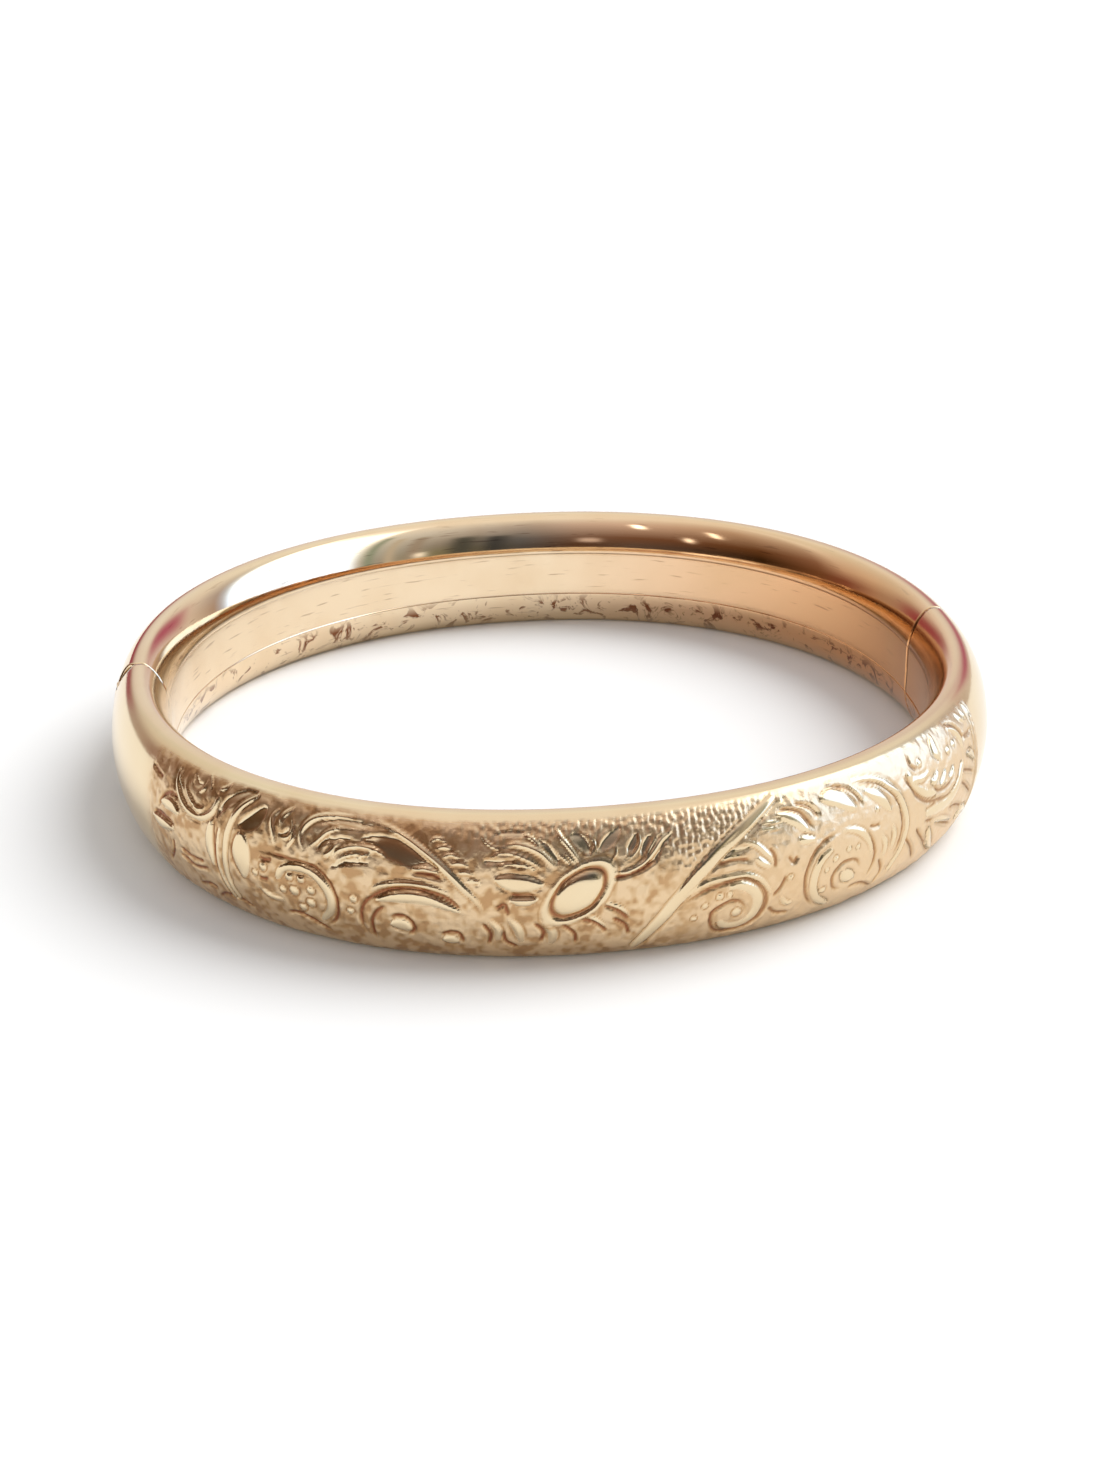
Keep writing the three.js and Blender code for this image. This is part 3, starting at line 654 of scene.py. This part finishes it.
def engrave(along, across):
    # strokes in the order they lie over each other, then the ground between them
    e, g = engraving, ground
    relief = Relief(along, across)
    for points, half in scoops:
        relief.scoop(smoothLine(points, 24), half, e["scoopDepth"])
    for points in grooves:
        relief.groove(smoothLine(points), e["grooveWidth"], e["grooveDepth"])
    for points, half, side in bands:
        relief.raised(smoothLine(points), half, e["bandHeight"], side, e["bandBlunt"])
    for points, half, side in petals:
        relief.raised(smoothLine(points, 24), half, e["petalHeight"], side, e["petalBlunt"])
    for points, half in ridges:
        relief.ridge(smoothLine(points), half, e["ridgeHeight"])
    for x, y, radius in bosses:
        relief.boss(x, y, radius, e["bossHeight"])
    carveBud(relief, along, across)
    for x in e["borderLines"]:
        relief.groove(smoothLine([x, -5.2, x, 0, x, 5], 24), e["grooveWidth"] * 0.7, e["grooveDepth"])
    # plain polished rims at top and bottom, and plain ends
    s, q = np.meshgrid(along, across, indexing="ij")
    inPattern = step(s, e["start"], 3) * step(-s, -e["end"], 8)
    inPattern *= step(-q, -e["top"], 12) * step(q, e["bottom"], 12)
    bare = inPattern * (1 - np.clip(relief.polish, 0, 1))
    # the upper middle is set with raised dots, and the rest is brushed with short strokes
    edge = 4.2 + 0.62 * np.clip(s - 4.0, 0, 9) - 1.5 * np.clip(s - 2.0, 0, 2.5)
    dotted = np.exp(-((s + 0.5) / 10.8) ** 8) * step(q, edge, 4)
    dots = np.clip(1 - punchedGround(along, across, g["dotPitch"], 3.0) ** 2, 0, 1)
    relief.height += bare * dotted * g["dotHeight"] * (dots - 0.6)
    coarse, fine = g["brushSizes"]
    brush = brushed(along, across, coarse, 1) + 0.6 * brushed(along, across, fine, 2)
    broad, small = g["patchSizes"]
    patches = 0.8 * brushed(along, across, broad, 3) + 0.8 * brushed(along, across, small, 4)
    relief.height += bare * (1 - dotted) * g["brushHeight"] * brush
    relief.height += inPattern * g["wobbleHeight"] * wobble(along, across, g["wobbleSize"], 11)
    # painted light: the stain thins towards the catch, in place of the brighter window reflection on that
    # side
    paintedLight = np.clip((s - g["paintedLightFrom"]) / g["paintedLightOver"], 0, 1)
    stain = np.clip(0.32 + patches - 0.6 * brush, 0, g["mostStain"])
    stain *= (1 - 0.7 * paintedLight) * (1 - 0.7 * dotted)
    relief.dirt *= inPattern
    relief.stain(..., bare * np.maximum(stain, dotted * (1 - dots) * g["dotStain"]))
    # painted light: the dirt in the cuts is also lighter towards the catch
    relief.dirt *= 1 - 0.3 * paintedLight
    relief.height *= np.clip(inPattern * 3, 0, 1)
    relief.matte = bare
    return relief


shellRows = {
    "engravedCorner": 9,
    "plainCorner": 17,
    "engravedDome": 86,
    "plainDome": 46,
    "hollowColumns": 56,
    "patternColumns": 735,
    "endColumns": 60,
    "plainColumns": 420,
}


def engravedColumns(distances):
    # distances of the columns, closer together through the engraving
    start, end = engraving["start"] - 0.6, engraving["end"] + 0.4
    return np.concatenate([
        np.linspace(distances[0], start, shellRows["endColumns"], endpoint=False),
        np.linspace(start, end, shellRows["patternColumns"], endpoint=False),
        np.linspace(end, distances[-1], shellRows["endColumns"]),
    ])


def makeFrontShell():
    middle = -math.pi / 2
    along = engravedColumns(halfPath(middle)[1])
    corner = shellRows["engravedCorner"]
    outline, across = domeOutline(0, corner, shellRows["engravedDome"])
    relief = engrave(along, across[corner:-corner])
    plain = ((0, 0), (corner, corner))
    height = np.pad(relief.height, plain)
    piece, spare = shellPiece("engraved_front_shell", middle, along, outline, across, corner, height, -1)
    for name, values in (("dirt", relief.dirt), ("matte", relief.matte)):
        setAttribute(piece, name, np.concatenate([np.pad(values, plain).ravel(), np.zeros(spare)]))
    addBandMap(piece, along, across, spare)
    return piece


def makeBackShell():
    middle = math.pi / 2
    distances = halfPath(middle)[1]
    along = np.linspace(distances[0], distances[-1], shellRows["plainColumns"])
    corner = shellRows["plainCorner"]
    outline, across = domeOutline(0, corner, shellRows["plainDome"])
    piece, spare = shellPiece("polished_back_shell", middle, along, outline, across, corner, None, 1)
    addBandMap(piece, along, across, spare)
    return piece


linerShape = {"seam": 0.008, "edgeRadius": 0.02, "columns": 300, "edgeSteps": 5, "flatSteps": 10}


def linerOutline():
    # a flat strip with rounded long edges, as closed (out, up) rows, outer side last
    low = band["cornerDrop"] + linerShape["seam"]
    high = bandHeight - low
    r, wall = linerShape["edgeRadius"], band["linerWall"]
    turn = np.linspace(0, math.pi / 2, linerShape["edgeSteps"])
    corners = [(r, low + r, math.pi), (wall - r, low + r, 1.5 * math.pi), (wall - r, high - r, 0),
               (r, high - r, 0.5 * math.pi)]
    rows = [np.stack([x + r * np.cos(a + turn), y + r * np.sin(a + turn)], 1) for x, y, a in corners]
    face = np.linspace(high - r, low + r, linerShape["flatSteps"])[1:-1]
    rows.append(np.stack([np.zeros_like(face), face], 1))
    return np.concatenate(rows)


def makeLiner(name, middleAngle):
    path = halfPath(middleAngle)
    along = np.linspace(path[1][0], path[1][-1], linerShape["columns"])
    outline = linerOutline()
    points = carrySection(path, along, outline)
    columns, rows = points.shape[:2]
    ids = np.arange(columns * rows).reshape(columns, rows)
    around = np.concatenate([ids, ids[:, :1]], 1)
    quads = gridQuads(around)
    loops = np.concatenate([quads.ravel(), ids[0], ids[-1][::-1]])
    sizes = np.concatenate([np.full(len(quads), 4), [rows, rows]])
    piece = makeMesh(name, points.reshape(-1, 3), sizes, loops)
    addBandMap(piece, along, outline[:, 1] - midHeight, 0)
    return piece


def linearColour(hexCode):
    # sRGB hex to the linear values that shaders use
    parts = [int(hexCode[i:i + 2], 16) / 255 for i in (1, 3, 5)]
    return [c / 12.92 if c <= 0.04045 else ((c + 0.055) / 1.055) ** 2.4 for c in parts] + [1.0]


def addNode(tree, kind, settings=None, **inputs):
    # one node, its settings, and its inputs as values or as links from nodes or their outputs.
    # an input is named, with __ for a space, or numbered, as _0
    node = tree.nodes.new("ShaderNode" + kind)
    for name, value in (settings or {}).items():
        setattr(node, name, value)
    for name, value in inputs.items():
        socket = node.inputs[int(name[1:])] if name[0] == "_" else node.inputs[name.replace("__", " ")]
        value = value.outputs[0] if isinstance(value, bpy.types.Node) else value
        if isinstance(value, bpy.types.NodeSocket):
            tree.links.new(value, socket)
        else:
            socket.default_value = value
    return node


def emptyMaterial(name):
    material = bpy.data.materials.new(name)
    material.use_nodes = True
    material.node_tree.nodes.clear()
    return material, material.node_tree


def finishMetal(tree, **looks):
    addNode(tree, "OutputMaterial", Surface=addNode(tree, "BsdfPrincipled", Metallic=1.0, **looks))


finish = {
    "paleGold": "#E9D5B1",       # pale champagne gold skin
    "deepGold": "#DDB98A",       # where the gold is thin or handled
    "brushedGold": "#E2BC92",    # the matte ground, warmer than the buffed lands
    "ochreStain": "#BE9460",     # thin dull film over the matte ground
    "copperDirt": "#8E5236",     # copper-brown patina left in the cuts
    "linerGold": "#F0DABA",      # the inner sheet, a little redder
    # painted reflection: the orange that the wrist side turns to towards the catch
    "paintedReflectionOrange": "#DE9F68",
    "tarnish": "#7A4428",
    "brass": "#C7A15B",
    "scratchSpacing": 0.12,      # millimetres between hairline scratches
    "brushSpacing": 0.3,         # and between brush marks
    "wornSpacing": 6.0,          # across a worn patch
    "smallWornSpacing": 1.5,     # and on the small parts
    "scratchDepth": 0.02,
    "brushDepth": 0.03,
    "streakScale": (2.6, 38, 1),     # long dark scratches on the wrist side, per unit of its map
    "spotScale": 480.0,              # tarnish spots per metre
    "paintedReflectionFrom": 4.0,               # painted reflection: orange deepens from here to the next, hinge to catch
    "paintedReflectionFull": 31.0,
    "tarnishFrom": 3.4,              # and tarnish down from here to the next
    "tarnishFull": 2.2,
    "engravedRoughness": (0.13, 0.33),   # bright facets, matte ground
    "polishedRoughness": (0.04, 0.09),   # least worn, most worn
    "linerRoughness": (0.16, 0.26),
}


def layColours(tree, colour, layers):
    # finishes laid over each other: as a value goes from low to high, the new colour covers the last
    # one up to its most
    for value, low, high, most, name in layers:
        cover = addNode(tree, "MapRange", _0=value, _1=low, _2=high, _3=0.0, _4=most)
        colour = addNode(tree, "Mix", {"data_type": "RGBA"}, _0=cover, _6=colour,
                         _7=linearColour(finish[name])).outputs[2]
    return colour


def hairlines(tree, stretch, strength):
    # scratches along the band: noise on the band's own map, squeezed across and drawn out along
    bandMap = addNode(tree, "UVMap", {"uv_map": "band"})
    size = mapUnit / finish["scratchSpacing"]
    place = addNode(tree, "Mapping", Vector=bandMap, Scale=(size / stretch, size, 1))
    height = addNode(tree, "TexNoise", {"noise_dimensions": "2D"}, Vector=place, Scale=1.0, Detail=3.0,
                     Roughness=0.6)
    return addNode(tree, "Bump", Strength=strength, Distance=finish["scratchDepth"] * mm, Height=height)


def wornPatches(tree, spacing):
    # slow changes of tone over the piece
    place = addNode(tree, "TexCoord").outputs["Object"]
    return addNode(tree, "TexNoise", Vector=place, Scale=1 / (spacing * mm), Detail=3.0, Roughness=0.55)


def wristSideColour(tree):
    # the wall that faces the wrist: redder sheet, deepening to orange towards the catch as a painted
    # reflection of the shaded floor and gold it mirrors there, with thin dark scratches along it and brown
    # tarnish by its lower edge
    place = addNode(tree, "TexCoord").outputs["Object"]
    axes = addNode(tree, "SeparateXYZ", Vector=place)
    bandMap = addNode(tree, "UVMap", {"uv_map": "band"})
    drawn = addNode(tree, "Mapping", Vector=bandMap, Scale=finish["streakScale"])
    streaks = addNode(tree, "TexNoise", {"noise_dimensions": "2D"}, Vector=drawn, Scale=1.0, Detail=2.0,
                      Roughness=0.5)
    spots = addNode(tree, "TexNoise", Vector=place, Scale=finish["spotScale"], Detail=3.0, Roughness=0.65,
                    Distortion=1.6)
    spotted = addNode(tree, "MapRange", _0=spots, _1=0.54, _2=0.62, _3=0.0, _4=0.95)
    top, foot = finish["tarnishFrom"], finish["tarnishFull"]
    low = addNode(tree, "MapRange", _0=axes.outputs["Z"], _1=top * mm, _2=foot * mm)
    # painted reflection: the wrist side turns orange along object x towards the catch, in place of the
    # shaded floor and gold it mirrors
    start, end = finish["paintedReflectionFrom"], finish["paintedReflectionFull"]
    return layColours(tree, linearColour(finish["linerGold"]), [
        (axes.outputs["X"], start * mm, end * mm, 0.95, "paintedReflectionOrange"),
        (wornPatches(tree, finish["wornSpacing"]), 0.45, 0.8, 0.35, "deepGold"),
        (streaks, 0.68, 0.76, 0.4, "tarnish"),
        (addNode(tree, "Math", {"operation": "MULTIPLY"}, _0=low, _1=spotted), 0.0, 1.0, 1.0, "tarnish"),
    ])


def bothSides(tree, outside):
    # a shell's own colour, and the wrist side's colour on the wall that faces the wrist
    inside = addNode(tree, "Attribute", {"attribute_name": "inside"}).outputs["Fac"]
    wristSide = wristSideColour(tree)
    return addNode(tree, "Mix", {"data_type": "RGBA"}, _0=inside, _6=outside, _7=wristSide).outputs[2]


def makeEngravedGold():
    # gold-filled sheet, chased and cut by hand, then buffed: bright lands and facets, a matte
    # brushed ground, and the reddish dirt and bared copper that a buff leaves in the cuts
    material, tree = emptyMaterial("engravedGoldFilledSheet")
    dirt, matte = (addNode(tree, "Attribute", {"attribute_name": name}).outputs["Fac"]
                   for name in ("dirt", "matte"))
    outside = layColours(tree, linearColour(finish["paleGold"]), [
        (wornPatches(tree, finish["wornSpacing"]), 0.4, 0.75, 0.3, "deepGold"),
        (matte, 0.0, 1.0, 0.45, "brushedGold"),
        (dirt, 0.1, 0.6, 0.75, "ochreStain"),
        (dirt, 0.45, 1.0, 0.9, "copperDirt"),
    ])
    bright, dull = finish["engravedRoughness"]
    # brush marks finer than the mesh, on the matte ground only
    bandMap = addNode(tree, "UVMap", {"uv_map": "band"})
    marks = addNode(tree, "TexNoise", {"noise_dimensions": "2D"}, Vector=bandMap,
                    Scale=mapUnit / finish["brushSpacing"], Detail=2.0, Roughness=0.6)
    finishMetal(
        tree,
        Base__Color=bothSides(tree, outside),
        Roughness=addNode(tree, "MapRange", _0=matte, _1=0.0, _2=1.0, _3=bright, _4=dull),
        Normal=addNode(tree, "Bump", Strength=0.7, Distance=finish["brushDepth"] * mm,
                       Height=addNode(tree, "Math", {"operation": "MULTIPLY"}, _0=marks, _1=matte),
                       Normal=hairlines(tree, 14, 0.1)),
    )
    return material


def makeSmoothGold(name, roughness, scratches, wristOnly):
    # buffed sheet with fine wear along the band: a clear mirror outside, worn satin by the wrist
    material, tree = emptyMaterial(name)
    worn = wornPatches(tree, finish["wornSpacing"])
    if wristOnly:
        colour = wristSideColour(tree)
    else:
        gold = layColours(tree, linearColour(finish["paleGold"]), [(worn, 0.4, 0.8, 0.3, "deepGold")])
        colour = bothSides(tree, gold)
    least, most = roughness
    finishMetal(
        tree,
        Base__Color=colour,
        Roughness=addNode(tree, "MapRange", _0=worn, _1=0.3, _2=0.7, _3=least, _4=most),
        Normal=hairlines(tree, 20, scratches),
    )
    return material


def makePlainMetal(name, colour, roughness):
    # drawn or rolled small parts: even colour with slight handling marks
    material, tree = emptyMaterial(name)
    worn = wornPatches(tree, finish["smallWornSpacing"])
    finishMetal(
        tree,
        Base__Color=layColours(tree, linearColour(finish[colour]), [(worn, 0.3, 0.8, 0.4, "copperDirt")]),
        Roughness=addNode(tree, "MapRange", _0=worn, _1=0.3, _2=0.7, _3=roughness, _4=roughness + 0.12),
    )
    return material


engravedGold = makeEngravedGold()
polishedGold = makeSmoothGold("polishedGoldFilledSheet", finish["polishedRoughness"], 0.06, False)
linerGold = makeSmoothGold("wornLinerGold", finish["linerRoughness"], 0.12, True)
plateGold = makePlainMetal("filedEndPlateGold", "deepGold", 0.3)
hingeGold = makePlainMetal("drawnHingeWire", "paleGold", 0.22)
springBrass = makePlainMetal("rolledSpringBrass", "brass", 0.32)
print("materials made")


def seat(piece, body, node, material):
    piece.data.materials.append(material)
    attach(piece, body)
    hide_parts(node)
    print("made", piece.name, len(piece.data.polygons), "faces")


seat(makeFrontShell(), "front_half", "front_outer_shell", engravedGold)
seat(makeBackShell(), "back_half", "back_outer_shell", polishedGold)
seat(makeLiner("front_liner_strip", -math.pi / 2), "front_half", "front_inner_liner", linerGold)
seat(makeLiner("back_liner_strip", math.pi / 2), "back_half", "back_inner_liner", linerGold)

for name, node in frame["nodes"].items():
    if "plate" in name:
        coat = plateGold
    elif "knuckle" in name or "pin" in name:
        coat = hingeGold
    else:
        coat = springBrass
    node.data.materials.clear()
    node.data.materials.append(coat)


studio = {
    "floorSize": 6.0,            # metres
    "floorColour": "#F5F5F5",
    "skyStrength": 0.6,
    "sunStrength": 2.5,
    "sunAngle": 46.0,            # degrees across, so shadows are soft
    "sunAzimuth": -104.0,
    "sunElevation": 50.0,
    "roomRadius": 1.4,
    "roomGrid": (361, 91),
    "roomFoot": -0.02,           # elevation in radians of its lowest ring
    "backdropGrid": (49, 25),
    "backdropReach": 1.2,        # in floor sizes
}

# The room that the metal mirrors, going round from behind through the right, the front and the left.
# Each row: azimuth in degrees with zero in front, then tones low, half way up and high on the wall.
roomTones = [
    (-180, "#EDE2E6", "#F5F1F1", "#FFFFFF"),
    (-128, "#E0D4CC", "#E6DCD8", "#FFFFFF"),
    (-113, "#B5A096", "#B9AFB2", "#F4F4F4"),
    (-105, "#BCD6FF", "#C2DAFF", "#E4EEFF"),
    (-54, "#BCD6FF", "#C2DAFF", "#E4EEFF"),
    (-48, "#B4B4B6", "#C4CACC", "#ECECEE"),
    (-23, "#86846E", "#989490", "#D8D8DC"),
    (-3, "#545254", "#686970", "#BDB4B4"),
    (12, "#5A4030", "#7C645A", "#D4C2BE"),
    (30, "#62544E", "#785846", "#DCC8C2"),
    (77, "#3A2A18", "#6C4E34", "#CCB8AC"),
    (103, "#785A44", "#94786A", "#E0D8D2"),
    (116, "#8C6258", "#D8CCC4", "#FFFFFF"),
    (130, "#B8A49A", "#E4DAD0", "#F4F4F0"),
    (150, "#C0B4AC", "#E4DED8", "#F8F8F4"),
    (166, "#DCD0CC", "#F0E8E8", "#FFFFFF"),
    (180, "#EDE2E6", "#F5F1F1", "#FFFFFF"),
]
roomHeights = [0, 9, 22, 50, 72, 90]           # elevations: low, low, middle, high, ceiling, ceiling
ceilingTone = "#FFF9F6"
windowGlow = {"middle": -78, "halfWidth": 28, "top": 62, "strength": 2.9, "soft": (1.2, 3.0)}
lampSoft = (0.5, 0.8)
# bright things on the walls: azimuth, elevation, half width, half height, strength
roomLamps = [
    (35, 46, 1.8, 4.5, 3.0), (63, 38, 1.6, 4.5, 2.6), (50, 24, 1.2, 3.0, 2.6), (-28, 8, 1.5, 4.0, 0.9),
]
# flat things on the walls: azimuth, elevation, half width, half height, soft edge, tone
roomPanels = [
    (16, 17, 3.0, 3.5, 0.6, "#D8C4BE"),        # a picture
    (-145, 15, 13, 8, 2.4, "#B65C7C"),          # rose cloth, right of the bangle
    (159, 5, 14, 8, 2.4, "#9E4658"),            # and left of it
    (-45, 22, 1.6, 26, 0.6, "#8FA094"),        # folds of a curtain
    (-38, 20, 1.4, 22, 0.6, "#C8C0B4"),
    (-30, 20, 2.0, 20, 0.6, "#A49A92"),
    (-16, 17, 3.2, 15, 0.8, "#4E504E"),
    (-8, 16, 2.2, 14, 0.8, "#3C3E42"),
]


def plainEmission(name, colour, strength):
    material, tree = emptyMaterial(name)
    glow = addNode(tree, "Emission", Color=colour, Strength=strength)
    addNode(tree, "OutputMaterial", Surface=glow)
    return material


def domeGrid(radius, columns, rows, lowest):
    # points of a dome by azimuth and elevation, facing inwards, as a grid
    azimuth = np.linspace(-math.pi, math.pi, columns)
    elevation = np.linspace(lowest, math.pi / 2, rows)
    a, e = np.meshgrid(azimuth, elevation, indexing="ij")
    points = radius * np.stack([-np.sin(a) * np.cos(e), -np.cos(a) * np.cos(e), np.sin(e)], -1)
    quads = gridQuads(np.arange(columns * rows).reshape(columns, rows), True)
    return np.degrees(a), np.degrees(e), points.reshape(-1, 3) / mm, quads


def patch(a, e, centre, half, soft):
    # 1 inside a rectangle on the wall, fading to 0 over its soft edges
    sides = zip((a, e), centre, half, soft)
    return np.prod([1 / (1 + np.exp((np.abs(v - c) - h) / w)) for v, c, h, w in sides], 0)[..., None]


def makeRoom():
    # a dome that only mirrors see: wall tones blended round and upwards, a window, lamps, a picture
    a, e, points, quads = domeGrid(studio["roomRadius"], *studio["roomGrid"], studio["roomFoot"])
    keys = [row[0] for row in roomTones]
    tones = np.array([[linearColour(h)[:3] for h in row[1:]] for row in roomTones])
    ceiling = np.array(linearColour(ceilingTone)[:3])
    colour = np.zeros(a.shape + (3,))
    for k in range(3):
        low, middle, high = (np.interp(a, keys, tones[:, n, k]) for n in range(3))
        top = np.full_like(a, ceiling[k])
        levels = np.stack([low, low, middle, high, top, top])
        place = np.interp(e, roomHeights, np.arange(len(levels)))
        lower = np.clip(place.astype(int), 0, len(levels) - 2)
        part = place - lower
        first = np.take_along_axis(levels, lower[None], 0)[0]
        second = np.take_along_axis(levels, lower[None] + 1, 0)[0]
        colour[..., k] = first + (second - first) * part
    for azimuth, elevation, halfWidth, halfHeight, soft, tone in roomPanels:
        panel = patch(a, e, (azimuth, elevation), (halfWidth, halfHeight), (soft, soft))
        colour += panel * (np.array(linearColour(tone)[:3]) - colour)
    w = windowGlow
    window = patch(a, e, (w["middle"], 0), (w["halfWidth"], w["top"]), w["soft"])
    colour *= 1 + (w["strength"] - 1) * window
    for azimuth, elevation, halfWidth, halfHeight, strength in roomLamps:
        colour += strength * patch(a, e, (azimuth, elevation), (halfWidth, halfHeight), lampSoft)
    room = makeMesh("mirrored_room", points, np.full(len(quads), 4), quads.ravel())
    layer = room.data.attributes.new("tone", "FLOAT_COLOR", "POINT")
    full = np.concatenate([colour, np.ones(a.shape + (1,))], -1)
    layer.data.foreach_set("color", full.astype(np.float32).ravel())
    material = plainEmission("mirroredRoomTones", linearColour(ceilingTone), 1.0)
    tree = material.node_tree
    tone = addNode(tree, "Attribute", {"attribute_name": "tone"})
    tree.links.new(tone.outputs["Color"], tree.nodes["Emission"].inputs["Color"])
    room.data.materials.append(material)
    room.visible_camera = room.visible_diffuse = room.visible_shadow = room.visible_transmission = False


def makeFloor():
    half = studio["floorSize"] / 2
    corners = np.array([(-half, -half, 0), (half, -half, 0), (half, half, 0), (-half, half, 0)]) / mm
    floor = makeMesh("studio_floor", corners, np.array([4]), np.arange(4), smooth=False)
    material = bpy.data.materials.new("paleStudioPaper")
    material.use_nodes = True
    shader = material.node_tree.nodes["Principled BSDF"]
    shader.inputs["Base Color"].default_value = linearColour(studio["floorColour"])
    shader.inputs["Roughness"].default_value = 0.9
    shader.inputs["Specular IOR Level"].default_value = 0.0
    floor.data.materials.append(material)


def makeBackdrop():
    # white paper all round, behind the floor's edge, seen by the camera alone
    _, _, points, quads = domeGrid(studio["floorSize"] * studio["backdropReach"],
                                   *studio["backdropGrid"], -math.pi / 2)
    paper = makeMesh("white_backdrop", points, np.full(len(quads), 4), quads.ravel())
    paper.data.materials.append(plainEmission("whiteBackdropPaper", linearColour("#FEFEFE"), 1.0))
    paper.visible_glossy = paper.visible_diffuse = paper.visible_shadow = paper.visible_transmission = False


def makeLight():
    world = bpy.data.worlds.new("paleStudio")
    bpy.context.scene.world = world
    world.use_nodes = True
    background = world.node_tree.nodes["Background"]
    background.inputs["Color"].default_value = linearColour("#FFFFFF")
    background.inputs["Strength"].default_value = studio["skyStrength"]
    sun = bpy.data.lights.new("soft_window_light", "SUN")
    sun.energy = studio["sunStrength"]
    sun.angle = math.radians(studio["sunAngle"])
    lamp = bpy.data.objects.new("soft_window_light", sun)
    lamp.rotation_euler = (math.radians(90 - studio["sunElevation"]), 0, -math.radians(studio["sunAzimuth"]))
    lamp.visible_glossy = False
    bpy.context.scene.collection.objects.link(lamp)


viewpoint = {
    "lens": 47.88,
    "distance": 153.06,
    "elevation": 23.64,
    "azimuth": 7.81,
    "roll": -1.146,
    "shiftX": 0.0015,
    "shiftY": -0.0254,
    "near": 0.005,               # metres
    "far": 20,
}


def makeCamera():
    c = viewpoint
    data = bpy.data.cameras.new("photo_camera")
    data.lens = c["lens"]
    data.shift_x, data.shift_y = c["shiftX"], c["shiftY"]
    data.clip_start, data.clip_end = c["near"], c["far"]
    camera = bpy.data.objects.new("photo_camera", data)
    a, e, roll = math.radians(c["azimuth"]), math.radians(c["elevation"]), math.radians(c["roll"])
    back = np.array([-math.sin(a) * math.cos(e), -math.cos(a) * math.cos(e), math.sin(e)])
    right = np.array([math.cos(a), -math.sin(a), 0.0])
    up = np.cross(back, right)
    turnedRight = right * math.cos(roll) + up * math.sin(roll)
    turnedUp = up * math.cos(roll) - right * math.sin(roll)
    place = back * c["distance"] * mm + np.array([0, 0, midHeight * mm])
    matrix = np.eye(4)
    matrix[:3, 0], matrix[:3, 1], matrix[:3, 2], matrix[:3, 3] = turnedRight, turnedUp, back, place
    camera.matrix_world = Matrix(matrix.tolist())
    bpy.context.scene.collection.objects.link(camera)
    bpy.context.scene.camera = camera


makeFloor()
makeBackdrop()
makeRoom()
makeLight()
makeCamera()
bpy.context.scene.view_settings.view_transform = "Standard"
print("stage, light and camera set")
